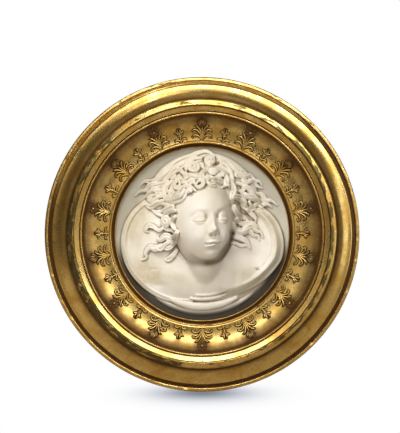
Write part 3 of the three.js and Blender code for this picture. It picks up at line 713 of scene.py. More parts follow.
def wing_height(wing, x, z, base):
    """A folded wing: a shallow dish that falls from its root, then a rim that rises from the dish to a
    crest and slopes down outwards, standing on the field with a steep side between its two tips."""
    radius = np.hypot(x, z)
    rise = wing_rise(wing, x, z)
    edge = wing_edge(wing, rise)
    inward = (edge - radius) / wing["rim_width"]
    out = ((radius - WING_ROOT) / (edge - wing["rim_width"] - WING_ROOT)).clip(0, 1)
    dish = wing["dish"] + wing["hollow"] * np.cos(math.pi * np.minimum(out * 1.25, 1))
    dish += 0.5 * np.sin(out * 16 + 0.08 * rise) * out * (1 - out) * 3
    slim = step(wing["upper_span"] - rise, 14) * step(rise + wing["lower_span"], 14)
    crest = wing["roll"] * (0.5 + 0.5 * slim)
    outside = inward.clip(0, 1) ** wing["rim_bow"]
    roll = wing["dish"] - wing["hollow"] - 5 + (crest + 5) * outside - 12 * (inward - 1).clip(0) ** 1.2
    roll -= wing["lip"] * ridge(inward - 0.26, 0.06) * step(-rise - 4, 8)
    height = softest(dish, roll, wing["blend"])
    ends = step(wing["upper_span"] - rise, 1.2) * step(rise + wing["lower_span"], 0.8)
    inside = step(edge - radius, 0.55) * ends * step(wing["side"] * x + 14, 3)
    return base + (height - base).clip(0) * inside


def feather_height(x, z, start, end, inner, outer, height, base):
    """A long curved feather between two angles and two radii, highest along its middle and
    narrowing to its ends."""
    radius = np.hypot(x, z)
    share = (np.degrees(np.arctan2(z, x)) - start) / (end - start)
    swell = np.sin(math.pi * (0.06 + 0.88 * share.clip(0, 1))) ** 0.6
    across = (radius - (inner + outer) / 2) / ((outer - inner) / 2 * swell)
    inside = step(1 - np.abs(across), 0.08) * step(share, 0.02) * step(1 - share, 0.02)
    return base + (height - 2 * across ** 2 - base).clip(0) * inside


def ground(x, z):
    """The height of everything behind the head and the hair, above the field's lowest point: the
    field, the feathers, both wings, the chest and the neck as parts of eggs, and the marks and the
    small step carved in the chest."""
    radius = np.hypot(x, z)
    height = field_rise(radius)
    for start, end, inner, outer, level, fall in FEATHERS:
        height = feather_height(x, z, start, end, inner, outer, level - fall * (radius - inner), height)
    for wing in (LEFT_WING, RIGHT_WING):
        height = wing_height(wing, x, z, height)
    chest = 25 * np.sqrt((1 - ((x - 6) / 90) ** 2 - ((z + 54) / 46) ** 2).clip(0))
    neck = 45 * np.sqrt((1 - ((x - 4) / 30) ** 2 - ((z + 22) / 54) ** 2).clip(0))
    height = softest(softest(height, chest, 5), neck, 7)
    for *place, depth in CHEST_MARKS:
        height -= depth * bump(x, z, *place)
    height -= 1.2 * ridge(z + 49.5, 0.9) * ridge(x + 66, 5)
    return height + 0.25 * np.sin(x / 9 + 0.6 * np.sin(z / 7)) * np.sin(z / 11 + 1.3)


def block(rings=190, turns=760):
    """The disc that sits in the frame's seat, with the surface of heights as its front. The grid is
    of radii and angles, closed at the middle, with the disc's edge and flat back as its last rings."""
    angle = np.linspace(0, 2 * math.pi, turns, endpoint=False)[None, :]
    radius = np.linspace(0, SIGHT_RADIUS, rings)[:, None]
    x, z = radius * np.cos(angle), radius * np.sin(angle)
    rows = [np.stack([x, -(ground(x, z) + FIELD_MIDDLE), z], -1)]
    for edge, height in ((SLAB_RADIUS, SLAB_EDGE), (SLAB_RADIUS, 0), (SLAB_RADIUS / 2, 0), (0, 0)):
        rows.append(np.stack(np.broadcast_arrays(
            edge * np.cos(angle), -float(height), edge * np.sin(angle)), -1))
    points = np.concatenate([row.reshape(-1, turns, 3) for row in rows])
    flat = points.reshape(-1, 3)
    return flat, outward(flat, grid_faces(len(points), turns, False, True))


# Hair

# The masses under the hair: centre, radii, and the radius below the centre
HAIR_MASSES = [
    ((1, -10, 36), (54, 41, 66), 66),
    ((1, -2, 42), (80, 25, 74), 30),
]


def egg_height(x, z, centre, radii, below):
    """How far a stretched globe reaches from the wall at x and z, or 0 where it isn't there."""
    tall = np.where(z < centre[2], below, radii[2])
    inside = 1 - ((x - centre[0]) / radii[0]) ** 2 - ((z - centre[2]) / tall) ** 2
    return np.where(inside > 0, -centre[1] + radii[1] * np.sqrt(inside.clip(0)), 0)


def comb_height(x, z):
    """The height of what a lock of hair lies on: the masses of hair, the head or the ground."""
    height = np.maximum(ground(x, z), egg_height(x, z, HEAD_CENTRE, HEAD_RADII, HEAD_RADII[2]))
    for mass in HAIR_MASSES:
        height = np.maximum(height, egg_height(x, z, *mass))
    return height


def evened(values, reach):
    """A row of numbers, each replaced by the mean of its neighbours within a reach."""
    kernel = np.hanning(2 * reach + 3)[1:-1]
    padded = np.pad(values, reach, mode="edge")
    return np.convolve(padded, kernel / kernel.sum(), mode="valid")


def unit_rows(rows):
    """Each row at length 1."""
    return rows / (np.linalg.norm(rows, axis=-1, keepdims=True) + 1e-9)


def strand(path, half, root, sides=16):
    """A strand: a half round with straight sides that reach down by the root's depth, carried along
    a path of places in space, with rounded ends."""
    ahead = unit_rows(np.gradient(path, axis=0))
    across = unit_rows(np.cross([0, -1.0, 0], ahead))
    out = np.cross(ahead, across)
    share = np.linspace(0, 1, len(path))
    size = (half * np.sqrt(np.clip(np.minimum(share, 1 - share) * 24, 0, 1)))[:, None]
    angle = np.linspace(0, 2 * math.pi, sides, endpoint=False)[None, :]
    rise = np.sin(angle)
    lift = np.where(rise > 0, size * rise, (size + root * (size > 0.3)) * rise)
    points = (path[:, None, :] + across[:, None, :] * (size * np.cos(angle))[..., None]
              + out[:, None, :] * lift[..., None])
    flat = points.reshape(-1, 3)
    return flat, outward(flat, grid_faces(len(path), sides, False, True))


def lock(places, width, lift, strands, steps=72):
    """A lock: strands side by side along a curve through places given as x and z, laid on what is
    under it. It swells after its root and is drawn together at its tip, its middle strands are the
    highest, they wander a little, and it sinks towards its tip."""
    line = smooth_curve(places, steps)
    share = np.linspace(0, 1, steps)
    level = evened(comb_height(line[:, 0], line[:, 1]), 5) + lift * (1 - 0.65 * share ** 1.5)
    path = np.column_stack([line[:, 0], -level, line[:, 1]])
    across = unit_rows(np.cross([0, -1.0, 0], np.gradient(path, axis=0)))
    body = width * np.minimum(1, 0.6 + 2.2 * share) * np.minimum(1, 0.16 + 1.5 * (1 - share) ** 0.75)
    parts = []
    for k in range(strands):
        off = (k + 0.5) / strands - 0.5
        wander = 0.07 * np.sin(2 * math.pi * (1.3 * share + 0.41 * k + 0.013 * width))
        shifted = path + across * (body * (off + wander))[:, None]
        shifted[:, 1] += 1.1 * body * off ** 2
        parts.append(strand(shifted, body * (0.58 - 0.06 * (k % 2)) / strands, lift + 1))
    return parts


def coil(x, z, radius, lift, start, hand, drilled):
    """A snail of hair: one strand wound inwards in close turns, with furrows left between them, on
    a leaning patch of what is under it. Its middle stands proud, or is drilled out."""
    width = max(3.3, 0.4 * radius)
    outer, inner = radius - width / 2, radius * (0.22 if drilled else 0.08)
    turns = max(1.1, (outer - inner) / (0.84 * width))
    share = np.linspace(0, 1, 96)
    angle = math.radians(start) + hand * 2 * math.pi * turns * share
    reach = (outer + (inner - outer) * share) * (1 + 0.12 * np.sin(2 * angle + x))
    spot = float(comb_height(np.array(float(x)), np.array(float(z))))
    normal = unit_rows((np.array([x, -spot, z]) - HAIR_CENTRE) / HAIR_SPREAD ** 2 + (0, -0.01, 0))
    side = unit_rows(np.cross(normal, [0, 0, 1.0]))
    above = np.cross(side, normal)
    level = lift + radius * (0.1 * share if drilled else 0.32 * share ** 0.8)
    path = (np.array([x, -spot, z]) + side * (reach * np.cos(angle))[:, None]
            + above * (reach * np.sin(angle))[:, None] + normal * level[:, None])
    return strand(path, width / 2 * (1 - 0.12 * share), lift + 4)


# Snails of hair: place, radius, lift, start angle, hand, and whether the middle is drilled out
COILS = [
    (11, 98, 10.8, 4.0, 250, 1, 0),
    (-12, 89, 12.5, 2.7, 330, 1, 0),
    (15, 83, 7.7, 4.5, 100, -1, 0),
    (-3, 65, 9.1, 4.0, 60, 1, 1),
    (-33, 67, 8.7, 2.7, 200, 1, 1),
    (-39, 80, 6.6, 1.8, 320, -1, 1),
    (-47, 16, 10.1, 4.0, 20, 1, 0),
    (-46, 38, 7.0, 2.7, 100, 1, 1),
    (54, 20, 6.6, 2.7, 160, -1, 1),
    (-21, 79, 5.9, 2.7, 90, -1, 0),
    (47, 80, 5.9, 1.8, 40, 1, 1),
    (27, 79, 5.9, 3.1, 180, -1, 0),
    (-15, 56, 5.6, 4.0, 300, 1, 0),
    (33, 65, 5.2, 3.1, 220, -1, 0),
    (-76, 7, 4.5, 1.8, 90, 1, 0),
    (-24, 70, 5.2, 2.7, 0, -1, 0),
    (7, 74, 4.9, 4.5, 180, 1, 0),
]

# Locks: places of x and z, width, lift, strands
LOCKS = [
    ([(18, 106), (8, 113), (-4, 111), (-18, 104), (-32, 98), (-42, 91), (-52, 83), (-62, 74),
      (-72, 67)], 10.8, 5, 3),
    ([(1, 104), (-9, 103), (-18, 98), (-26, 93), (-35, 88), (-45, 81), (-54, 72), (-60, 64)], 10.5, 7, 3),
    ([(-26, 82), (-31, 88), (-38, 87), (-46, 79), (-49, 71)], 7.3, 8, 2),
    ([(-22, 60), (-28, 49), (-39, 46), (-49, 51), (-52, 61), (-47, 69), (-40, 73)], 11.8, 6, 3),
    ([(9, 78), (14, 73), (20, 71), (27, 66)], 9.1, 5, 2),
    ([(-16, 65), (-20, 57), (-27, 49), (-31, 44), (-38, 39)], 4.5, 2, 2),
    ([(22, 104), (33, 98), (44, 89), (53, 81), (63, 76)], 9.8, 5, 3),
    ([(23, 96), (32, 90), (39, 82), (42, 71), (49, 66)], 10.8, 7, 3),
    ([(27, 85), (34, 76), (33, 67), (27, 61)], 7.0, 5, 2),
    ([(34, 79), (41, 69), (44, 59), (41, 48), (45, 42)], 8.0, 4, 2),
    ([(41, 68), (50, 70), (58, 66), (57, 60), (50, 59), (44, 60)], 5.2, 4, 2),
    ([(42, 57), (51, 59), (58, 55), (56, 49), (47, 50)], 5.2, 4, 2),
    ([(41, 48), (50, 49), (57, 45), (60, 37), (68, 33), (77, 35)], 9.1, 7, 3),
    ([(44, 39), (47, 30), (52, 25), (59, 22), (65, 17)], 8.0, 6, 2),
    ([(-35, 45), (-44, 44), (-54, 46), (-63, 44), (-72, 38), (-79, 42)], 14.6, 6, 3),
    ([(-39, 36), (-47, 33), (-54, 28), (-63, 29), (-71, 33)], 9.8, 5, 2),
    ([(-35, 30), (-42, 30), (-49, 27), (-53, 17), (-50, 7), (-42, 3), (-35, -2)], 7.7, 5, 2),
    ([(-34, 0), (-40, -8), (-50, -5), (-58, -9), (-64, -5)], 9.4, 8, 3),
    ([(-37, 22), (-41, 15), (-38, 6), (-34, 3)], 5.9, 7, 2),
    ([(-52, 9), (-60, 4), (-68, 9), (-75, 10), (-79, 4), (-73, 1)], 5.9, 5, 2),
    ([(-36, -12), (-46, -20), (-55, -18), (-64, -22), (-72, -20), (-78, -27), (-78, -34),
      (-86, -38)], 8.0, 6, 3),
    ([(-39, -10), (-50, -15), (-58, -22), (-65, -18), (-73, -22)], 6.3, 8, 2),
    ([(-34, -22), (-40, -31), (-48, -37), (-52, -35)], 7.0, 4, 2),
    ([(-37, -28), (-43, -33), (-35, -32)], 4.5, 3, 1),
    ([(-47, 73), (-57, 69), (-65, 68), (-72, 67), (-79, 61), (-87, 59), (-95, 52)], 8.0, 4, 3),
    ([(-49, 65), (-59, 59), (-67, 61), (-75, 57), (-81, 50)], 7.0, 4, 3),
    ([(-56, 80), (-65, 75), (-73, 73), (-81, 73), (-87, 66)], 5.9, 3, 2),
    ([(-45, 59), (-54, 53), (-62, 55), (-70, 52)], 6.3, 4, 2),
    ([(50, 85), (59, 81), (67, 81), (74, 75), (81, 73), (85, 66)], 6.6, 4, 3),
    ([(55, 75), (62, 71), (70, 74), (79, 66), (87, 63)], 5.9, 4, 3),
    ([(57, 66), (66, 62), (73, 54), (82, 54), (89, 47), (98, 46), (107, 38)], 9.4, 5, 4),
    ([(59, 56), (66, 50), (75, 48), (82, 41), (92, 41), (99, 36)], 8.0, 5, 3),
    ([(65, 45), (70, 38), (78, 40), (86, 34)], 4.9, 5, 2),
    ([(61, 34), (67, 29), (74, 22), (75, 15)], 5.9, 6, 2),
    ([(42, 14), (47, 5), (56, 3), (63, 9), (70, 11), (76, 4), (82, 1), (86, -8)], 7.6, 6, 3),
    ([(42, 6), (50, -1), (58, 1), (65, 4), (72, -2), (78, -4), (80, -11)], 6.6, 4, 3),
    ([(40, -4), (49, -6), (59, -9), (65, -15), (68, -23)], 6.6, 4, 2),
    ([(39, -13), (47, -14), (54, -17), (61, -17), (66, -22)], 4.5, 3, 2),
    ([(48, 22), (54, 14), (65, 14), (73, 13), (79, 7)], 6.6, 5, 2),
    ([(4, 87), (0, 80), (2, 72), (8, 67)], 7.3, 3, 2),
    ([(-25, 73), (-17, 78), (-7, 76), (1, 78)], 8.0, 3, 3),
    ([(-9, 71), (-15, 71), (-20, 65), (-15, 60)], 6.3, 4, 2),
    ([(6, 70), (12, 65), (20, 64), (25, 59)], 5.9, 3, 2),
    ([(-24, 63), (-20, 67), (-12, 69), (-9, 63)], 5.6, 3, 2),
    ([(23, 89), (20, 82), (23, 76), (30, 73)], 5.9, 4, 2),
    ([(-31, 58), (-26, 63), (-18, 63), (-11, 58), (-7, 55)], 5.2, 4, 2),
    ([(37, 89), (44, 89), (51, 85), (57, 89)], 7.0, 4, 2),
    ([(-7, 96), (-1, 94), (4, 87)], 5.2, 5, 2),
]


def hair():
    """Every coil and lock, and the masses of hair under them."""
    parts = [egg(*mass) for mass in HAIR_MASSES]
    parts += [coil(*values) for values in COILS]
    for values in LOCKS:
        parts += lock(*values)
    return parts


# The marble piece

def neighbour_mean(values, pairs, counts):
    """Each vertex's mean over its neighbours."""
    total = np.empty_like(values)
    for k in range(values.shape[1]):
        total[:, k] = np.bincount(pairs[:, 0], values[pairs[:, 1], k], len(values))
        total[:, k] += np.bincount(pairs[:, 1], values[pairs[:, 0], k], len(values))
    return total / counts[:, None]


def edge_pairs(mesh):
    """The mesh's edges and how many each vertex has."""
    flat = np.empty(len(mesh.edges) * 2, np.int32)
    mesh.edges.foreach_get("vertices", flat)
    pairs = flat.reshape(-1, 2)
    return pairs, np.maximum(np.bincount(flat, minlength=len(mesh.vertices)), 1).astype(float)


def relax(mesh, rounds, strength):
    """Moves each vertex part of the way to the mean of its neighbours, a number of times over. The
    share of the way is one number a vertex, which strength works out from its place."""
    pairs, counts = edge_pairs(mesh)
    points = places_of(mesh)
    share = strength(points)[:, None]
    for _ in range(rounds):
        points += (neighbour_mean(points, pairs, counts) - points) * share
    mesh.vertices.foreach_set("co", (points * METRES).astype(np.float32).ravel())
    mesh.update()


def hollows(mesh, rounds):
    """How far each vertex lies below the mesh smoothed over a few rounds, in millimetres."""
    pairs, counts = edge_pairs(mesh)
    points = places_of(mesh)
    smooth = points.copy()
    for _ in range(rounds):
        smooth = neighbour_mean(smooth, pairs, counts)
    normals = np.empty(len(points) * 3, np.float32)
    mesh.vertices.foreach_get("normal", normals)
    return np.einsum("ij,ij->i", smooth - points, normals.reshape(-1, 3))


def gentle(points):
    """The same small strength everywhere."""
    return np.full(len(points), 0.25)


def on_chest(points):
    """Strong on the bare chest below the chin, away from the head, the hair and the wings' edges."""
    x, _, z = points.T
    below = step(-z - 30 - 0.012 * (x - 6) ** 2, 3)
    return 0.5 * below * step(84 - np.hypot(x, z), 4)


def painted_slot_shadow(points):
    """Black painted shadow, with some dirt, lying on the field between the wings' lower edges and the frame.
    """
    x, y, z = points.T
    on_field = step(SLAB_EDGE + 5 + y, 2)
    return 0.95 * step(-z - 22, 14) * step(np.hypot(x, z) - 110, 2.5) * on_field


def stains_and_shade(points):
    """Where the marble is tan: painted shade inside the left wing and along the rims of both wings, and
    stains in patches low on the chest and faintly over the hair."""
    x, _, z = points.T
    # Painted shade inside the left wing, and stains low on the chest
    patches = 1.7 * bump(x, z, -92, 16, 15, 28) + 0.9 * bump(x, z, -84, -52, 26, 20)
    patches += 0.8 * bump(x, z, -62, -62, 30, 9) + 0.6 * bump(x, z, 62, -58, 16, 12)
    # Painted shade along the rims of both wings
    rims = 1.2 * ridge(past_edge(RIGHT_WING, x, z) + 6, 6) * step(x - 24, 6)
    rims += 0.9 * ridge(past_edge(LEFT_WING, x, z) + 3, 3) * step(-x - 70, 8)
    hair_tops = 0.45 * step(z - 58 + 0.35 * np.abs(x), 8)
    return np.maximum(np.maximum(patches, rims), hair_tops)


def field_dust_and_shadow(points):
    """Grey on the field near the frame: some dust, and the frame's painted shadow, thicker above and most at
    the upper left; and painted shade on the lower part of the right wing's rim."""
    x, y, z = points.T
    on_field = step(SLAB_EDGE + 1.5 + y, 1) * step(np.hypot(x, z) - 98, 9)
    # The frame's painted shadow, with some dust
    amount = 0.28 + 0.4 * step(z - 30, 22) + 0.25 * step(x - 40, 20) + 0.8 * step(z - 0.6 * x - 50, 26)
    # Painted shade on the lower part of the right wing's rim
    rim = ridge(past_edge(RIGHT_WING, x, z) + 4, 6) * step(x - 24, 6) * step(-z - 15, 15)
    return 0.75 * rim + on_field * amount


def jaw_shade(points):
    """Painted shade in the angle between the jaw and the neck, more of it at the right: near the head's form,
    low down and away from its front."""
    x, y, z = ((points - HEAD_CENTRE + (0, FIELD_MIDDLE, 0)) / (HEAD_RADII + 3)).T
    gap = np.sqrt(x ** 2 + y ** 2 + z ** 2) - 1
    side = 0.45 + 0.55 * step(x - 0.1, 0.15)
    return side * ridge(gap + 0.02, 0.08) * step(-z - 0.25, 0.08) * step(y + 0.6, 0.05)


def build_marble():
    """All the forms joined, made into one skin by a voxel remesh, relaxed, and thinned where flat.
    Its attributes say where it is hollow, where painted shade falls in the deep cuts and under the jaw, where
    a black painted shadow lies in the slot, where it is tan with stains and painted shade, and where dust and
    the frame's painted shadow lie."""
    forms = [(points - (0, FIELD_MIDDLE, 0), outward(points, faces)) for points, faces in (head(), *hair())]
    points, faces = joined([block(), *forms])
    points[:, 1] = np.minimum(points[:, 1], 0)
    piece = new_object("carved_marble", points, faces)
    remesh = piece.modifiers.new("one skin", "REMESH")
    remesh.mode = "VOXEL"
    remesh.voxel_size = MARBLE_VOXEL * METRES
    mesh = with_modifiers(piece)
    relax(mesh, 2, gentle)
    relax(mesh, 40, on_chest)
    points = places_of(mesh)
    for name, values in (
            ("hollow", 0.5 + hollows(mesh, 12) * 0.45),
            # Painted shade: how far a place lies below the mesh smoothed widely, and under the jaw
            ("deep", np.maximum(hollows(mesh, 60) * 0.42, jaw_shade(points))),
            ("slot_shadow", painted_slot_shadow(points)),
            ("stain_and_shade", stains_and_shade(points)),
            ("dust", field_dust_and_shadow(points))):
        keep_attribute(mesh, name, values)
    thin = piece.modifiers.new("thin", "DECIMATE")
    thin.ratio = min(1, MARBLE_TRIANGLES / (2 * len(mesh.polygons)))
    mesh = with_modifiers(piece)
    mesh.polygons.foreach_set("use_smooth", np.ones(len(mesh.polygons), bool))
    mesh.update()
    return piece


# Materials

def node(tree, kind, inputs=None, **settings):
    """A node of a kind, with its settings, and its inputs set or joined."""
    made = tree.nodes.new(kind)
    for name, value in settings.items():
        setattr(made, name, value)
    for name, value in (inputs or {}).items():
        if isinstance(value, bpy.types.NodeSocket):
            tree.links.new(value, made.inputs[name])
        else:
            made.inputs[name].default_value = value
    return made


def attribute(tree, name):
    """One of the mesh's own numbers."""
    return node(tree, "ShaderNodeAttribute", attribute_name=name).outputs["Fac"]


def noise(tree, places, scale, detail=3.0, roughness=0.55, distortion=0.0):
    """Cloudy noise between 0 and 1."""
    values = {"Vector": places, "Scale": scale, "Detail": detail, "Roughness": roughness,
              "Distortion": distortion}
    return node(tree, "ShaderNodeTexNoise", values).outputs["Fac"]


def between(tree, value, low, high, to_low=0.0, to_high=1.0):
    """A value moved from one range to another and kept inside it, with a soft start and end."""
    made = node(tree, "ShaderNodeMapRange", {"Value": value, "From Min": low, "From Max": high,
                "To Min": to_low, "To Max": to_high}, interpolation_type="SMOOTHSTEP")
    return made.outputs["Result"]


def maths(tree, operation, *values, clamp=True):
    """A sum on numbers or sockets, kept between 0 and 1 unless told otherwise."""
    inputs = dict(enumerate(values))
    return node(tree, "ShaderNodeMath", inputs, operation=operation, use_clamp=clamp).outputs[0]


def larger_share(tree, a, share_a, b, share_b):
    """The larger of two values, each multiplied by its own share first."""
    return maths(tree, "MAXIMUM", maths(tree, "MULTIPLY", a, share_a), maths(tree, "MULTIPLY", b, share_b))


def blend(tree, amount, a, b, strength=None):
    """One colour over another by an amount, which a strength may lessen."""
    if strength is not None:
        amount = maths(tree, "MULTIPLY", amount, strength)
    return node(tree, "ShaderNodeMix", {0: amount, 6: a, 7: b}, data_type="RGBA").outputs[2]


def new_material(name):
    """A material with a Principled shader, its tree, that shader and the places on the object."""
    made = bpy.data.materials.new(name)
    made.use_nodes = True
    tree = made.node_tree
    return made, tree, tree.nodes["Principled BSDF"], node(tree, "ShaderNodeTexCoord").outputs["Object"]


def add_bumps(tree, shader, height, strength, distance):
    """Fine relief from a height, as a tilt of the surface."""
    bumps = node(tree, "ShaderNodeBump", {"Strength": strength, "Distance": distance, "Height": height})
    tree.links.new(bumps.outputs["Normal"], shader.inputs["Normal"])


def marble_material():
    """Aged ivory marble: cream with faint clouds, tan stains and tan painted shade, grey dust and the frame's
    painted shadow on the field, brown dirt and painted shade in the hollows, darker painted shade in the deep
    cuts and under the jaw, paler on high places, a black painted shadow in the slot round the wings, with a
    soft, uneven gloss."""
    made, tree, shader, places = new_material("aged_ivory_marble")
    clouds = noise(tree, places, 22.0, 5.0, 0.6, 0.4)
    blotches = between(tree, noise(tree, places, 34.0, 6.0, 0.65), 0.36, 0.68, 0.45, 1)
    stain_and_shade = maths(tree, "MULTIPLY", blotches, maths(tree, "ADD", 0.16, attribute(tree, "stain_and_shade")))
    hollow, slot_shadow = attribute(tree, "hollow"), attribute(tree, "slot_shadow")
    colour = blend(tree, between(tree, clouds, 0.35, 0.68), CREAM, CREAM_CLOUD)
    # Laid over in turn: stains and painted shade, dust and painted shadow, dirt and painted shade in the
    # hollows, painted shade in the deep cuts, pale high places, and the slot's black painted shadow
    for amount, strength, laid_over in (
            (stain_and_shade, 0.8, TAN),
            (attribute(tree, "dust"), 0.9, GREY_DUST_AND_SHADOW),
            (between(tree, hollow, 0.56, 0.95), 0.65, HOLLOW_DIRT_AND_SHADE),
            (between(tree, attribute(tree, "deep"), 0.16, 0.85), 0.88, DEEP_SHADE_BROWN),
            (between(tree, hollow, 0.44, 0.15), 0.4, RUBBED_PALE),
            (slot_shadow, None, SLOT_SHADOW_BLACK)):
        colour = blend(tree, amount, colour, laid_over, strength)
    tree.links.new(colour, shader.inputs["Base Color"])
    gloss = between(tree, clouds, 0.3, 0.7, 0.4, 0.54)
    tree.links.new(maths(tree, "ADD", gloss, maths(tree, "MULTIPLY", slot_shadow, 0.6)), shader.inputs["Roughness"])
    add_bumps(tree, shader, noise(tree, places, 900.0, 3.0, 0.6), 0.12, 0.0004)
    shader.inputs["Specular IOR Level"].default_value = 0.35
    shader.inputs["Subsurface Weight"].default_value = 0.12
    shader.inputs["Subsurface Radius"].default_value = (0.004, 0.003, 0.002)
    return made


def gilding_group():
    """Leaf gilding that two materials use: a gold colour that shifts over the surface, red ground rubbed
    through where it is worn, dark green tarnish and painted shade in spots that grow where they are asked
    for, brown dirt and painted shade where they are given, and the matching roughness, metal and height."""
    group = bpy.data.node_groups.new("aged_gilding", "ShaderNodeTree")
    for in_out, kind, names in (("INPUT", "Vector", ("Places", "Streaks")),
                                ("INPUT", "Float", ("Grime_and_shade", "Wear", "Tarnish_and_shade")),
                                ("OUTPUT", "Color", ("Color",)),
                                ("OUTPUT", "Float", ("Roughness", "Metallic", "Height"))):
        for name in names:
            group.interface.new_socket(name, in_out=in_out, socket_type="NodeSocket" + kind)
    into = group.nodes.new("NodeGroupInput").outputs
    out = group.nodes.new("NodeGroupOutput").inputs
    patches = noise(group, into["Places"], 38.0, 5.0, 0.6, 0.5)
    fine = noise(group, into["Places"], 260.0, 4.0, 0.65)
    gold = blend(group, between(group, patches, 0.36, 0.66), GOLD, GOLD_DARKER)
    gold = blend(group, between(group, fine, 0.5, 0.75, 0, 0.35), gold, GOLD_SPOT)
    rub = maths(group, "MULTIPLY", into["Wear"], between(group, fine, 0.56, 0.66))
    spots = noise(group, into["Streaks"], 1.0, 6.0, 0.68, 0.6)
    spots = maths(group, "ADD", spots, maths(group, "MULTIPLY", into["Tarnish_and_shade"], 0.24))
    tarnish_and_shade = between(group, spots, 0.64, 0.73)
    # Dirt and painted shade from the mesh
    dirt_and_shade = maths(group, "MULTIPLY", into["Grime_and_shade"], between(group, fine, 0.2, 0.6, 0.88, 1))
    dirt_and_shade = between(group, dirt_and_shade, 0.1, 0.9)
    colour = blend(group, rub, gold, RED_GROUND, 0.75)
    colour = blend(group, tarnish_and_shade, colour, GREEN_TARNISH_AND_SHADE, 0.85)
    group.links.new(blend(group, dirt_and_shade, colour, FRAME_DIRT_AND_SHADE, 0.96), out["Color"])
    dull = larger_share(group, dirt_and_shade, 0.8, tarnish_and_shade, 0.6)
    leaf = between(group, patches, 0.3, 0.7, 0.23, 0.34)
    group.links.new(maths(group, "ADD", leaf, maths(group, "MULTIPLY", dull, 0.22)), out["Roughness"])
    bare = larger_share(group, dirt_and_shade, 0.35, rub, 0.7)
    group.links.new(maths(group, "SUBTRACT", 1.0, bare), out["Metallic"])
    height = maths(group, "SUBTRACT", maths(group, "MULTIPLY", fine, 0.5), maths(group, "MULTIPLY", rub, 0.5))
    group.links.new(height, out["Height"])
    return group


def gilding_material(name, group, turned):
    """The gilding group on a shader. On the turned piece the spots of tarnish and painted shade are drawn out
    along its UV map.
    """
    made, tree, shader, places = new_material(name)
    pattern, scale = places, (40, 40, 40)
    if turned:
        pattern, scale = node(tree, "ShaderNodeUVMap", uv_map="turned").outputs[0], (45, 160, 1)
    streaks = node(tree, "ShaderNodeMapping", {"Vector": pattern, "Scale": scale}).outputs[0]
    inputs = {"Places": places, "Streaks": streaks}
    for key in ("Grime_and_shade", "Wear", "Tarnish_and_shade"):
        inputs[key] = attribute(tree, key.lower())
    gilt = node(tree, "ShaderNodeGroup", inputs, node_tree=group)
    for ours, theirs in (("Color", "Base Color"), ("Roughness", "Roughness"), ("Metallic", "Metallic")):
        tree.links.new(gilt.outputs[ours], shader.inputs[theirs])
    add_bumps(tree, shader, gilt.outputs["Height"], 0.1, 0.0006)
    return made


def wood_material():
    """Bare old softwood at the back: brown with long grain, dull and dusty."""
    made, tree, shader, places = new_material("old_softwood")
    long = node(tree, "ShaderNodeMapping", {"Vector": places, "Scale": (60, 60, 4)}).outputs[0]
    grain = noise(tree, long, 1.6, 5.0, 0.6, 1.2)
    brown = blend(tree, between(tree, grain, 0.3, 0.7), WOOD_BROWN, WOOD_GRAIN)
    dust = between(tree, noise(tree, places, 26.0, 4.0), 0.45, 0.75, 0, 0.35)
    tree.links.new(blend(tree, dust, brown, WOOD_DUST), shader.inputs["Base Color"])
    tree.links.new(between(tree, grain, 0.2, 0.8, 0.62, 0.85), shader.inputs["Roughness"])
    add_bumps(tree, shader, grain, 0.4, 0.0006)
    return made


def dress_back(mesh, wood_index):
    """The back face and the seat are bare wood: faces whose middle is near the wall, or inside the
    seat's radius and behind the sight edge."""
    centres = np.empty(len(mesh.polygons) * 3, np.float32)
    mesh.polygons.foreach_get("center", centres)
    x, y, z = centres.reshape(-1, 3).T / METRES
    bare = (y > -0.8) | ((np.hypot(x, z) < SEAT_RADIUS + 0.5) & (y > -SEAT_DEPTH + 0.5))
    mesh.polygons.foreach_set("material_index", np.where(bare, wood_index, 0).astype(np.int32))


# Stage, light and camera

def plane(name, corners, material):
    """A flat piece of the stage."""
    mesh = bpy.data.meshes.new(name)
    mesh.from_pydata(corners, [], [tuple(range(len(corners)))])
    thing = bpy.data.objects.new(name, mesh)
    bpy.context.scene.collection.objects.link(thing)
    mesh.materials.append(material)


def soft_light(name, place, width, height, power, mirrored, scattered):
    """A rectangular soft light at a place, turned to the middle of the frame. A lamp for the marble
    isn't mirrored in the gold, and one for the gold is nothing but mirrored."""
    light = bpy.data.lights.new(name, "AREA")
    light.shape = "RECTANGLE"
    light.size, light.size_y = width, height
    light.energy = power
    lamp = bpy.data.objects.new(name, light)
    lamp.visible_glossy = mirrored
    lamp.visible_diffuse = scattered
    lamp.location = place
    lamp.rotation_euler = (-Vector(place)).to_track_quat("-Z", "Y").to_euler()
    bpy.context.scene.collection.objects.link(lamp)


def camera_sees(tree, others, camera, output):
    """Gives the camera one shader and every other ray another."""
    seen = node(tree, "ShaderNodeLightPath").outputs["Is Camera Ray"]
    mixed = node(tree, "ShaderNodeMixShader", {0: seen, 1: others.outputs[0], 2: camera.outputs[0]})
    tree.links.new(mixed.outputs[0], tree.nodes[output].inputs["Surface"])


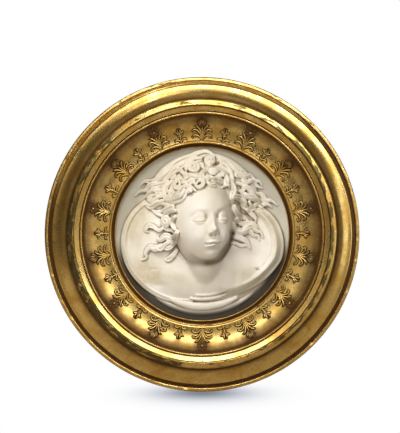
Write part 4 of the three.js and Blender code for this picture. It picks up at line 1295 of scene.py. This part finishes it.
def floor_material():
    """White paper. To the camera it glows white all over, dimmed by a soft shadow round the place
    where the frame stands: a Gaussian in x and in y. Other rays meet dull warm paper."""
    made, tree, shader, places = new_material("white_paper")
    tree.nodes.remove(shader)
    axes = node(tree, "ShaderNodeSeparateXYZ", {"Vector": places}).outputs
    squares = []
    for axis, middle, reach in SHADOW:
        apart = maths(tree, "SUBTRACT", axes[axis], middle, clamp=False)
        share = maths(tree, "DIVIDE", apart, reach, clamp=False)
        squares.append(maths(tree, "MULTIPLY", share, share, clamp=False))
    total = maths(tree, "ADD", *squares, clamp=False)
    shadow = maths(tree, "POWER", math.exp(-1), total, clamp=False)
    light = maths(tree, "MULTIPLY_ADD", shadow, -SHADOW_DEPTH, 1.0, clamp=False)
    cool = blend(tree, shadow, WHITE, SHADOW_TINT)
    glow = node(tree, "ShaderNodeEmission", {"Color": cool, "Strength": light})
    dull = node(tree, "ShaderNodeBsdfDiffuse", {"Color": DULL_PAPER})
    camera_sees(tree, dull, glow, "Material Output")
    return made


def set_stage():
    """White paper under the frame, a surround that is white to the camera and a dim warm room to
    other rays, and the lamps."""
    floor_level = cad_box[0][2]
    corners = [(-1, -1.2, floor_level), (1, -1.2, floor_level), (1, 0.3, floor_level), (-1, 0.3, floor_level)]
    plane("floor", corners, floor_material())
    world = bpy.data.worlds.new("studio")
    world.use_nodes = True
    bpy.context.scene.world = world
    tree = world.node_tree
    white = tree.nodes["Background"]
    white.inputs["Color"].default_value = WHITE
    dim = node(tree, "ShaderNodeBackground", {"Color": WARM_ROOM, "Strength": 0.08})
    camera_sees(tree, dim, white, "World Output")
    for lamp in LAMPS:
        soft_light(*lamp)
    bpy.context.scene.view_settings.view_transform = "Standard"


def set_camera():
    """The camera faces the frame square on, a little from below, so that the frame's outline is a
    circle of its measured size and place in the picture."""
    distance, elevation = 1.6, math.radians(-2.5)
    outline_x, outline_y, outline_radius = 202.0, 233.5, 157.0
    lip_plane = 0.02
    pixels = outline_radius / (FRAME_RADIUS * METRES)
    right, up = (PHOTO_WIDTH / 2 - outline_x) / pixels, (outline_y - PHOTO_HEIGHT / 2) / pixels
    aim = Vector((right, -lip_plane, up))
    data = bpy.data.cameras.new("camera")
    data.sensor_fit = "HORIZONTAL"
    data.lens = data.sensor_width * pixels * distance / PHOTO_WIDTH
    camera = bpy.data.objects.new("camera", data)
    camera.location = aim + Vector((0, -math.cos(elevation), math.sin(elevation))) * distance
    camera.rotation_euler = (aim - camera.location).to_track_quat("-Z", "Y").to_euler()
    bpy.context.scene.collection.objects.link(camera)
    bpy.context.scene.camera = camera


set_camera()
set_stage()

gilding = gilding_group()
moulding = build_frame()
moulding.data.materials.append(gilding_material("burnished_gilding", gilding, True))
moulding.data.materials.append(wood_material())
dress_back(moulding.data, 1)
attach(moulding, "root")
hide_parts("gilt_frame")

palmettes = build_ornament()
palmettes.data.materials.append(gilding_material("ornament_gilding", gilding, False))
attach(palmettes, "root")
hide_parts("gilt_frame")

marble = build_marble()
marble.data.materials.clear()
marble.data.materials.append(marble_material())
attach(marble, "root")
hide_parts("marble_relief")
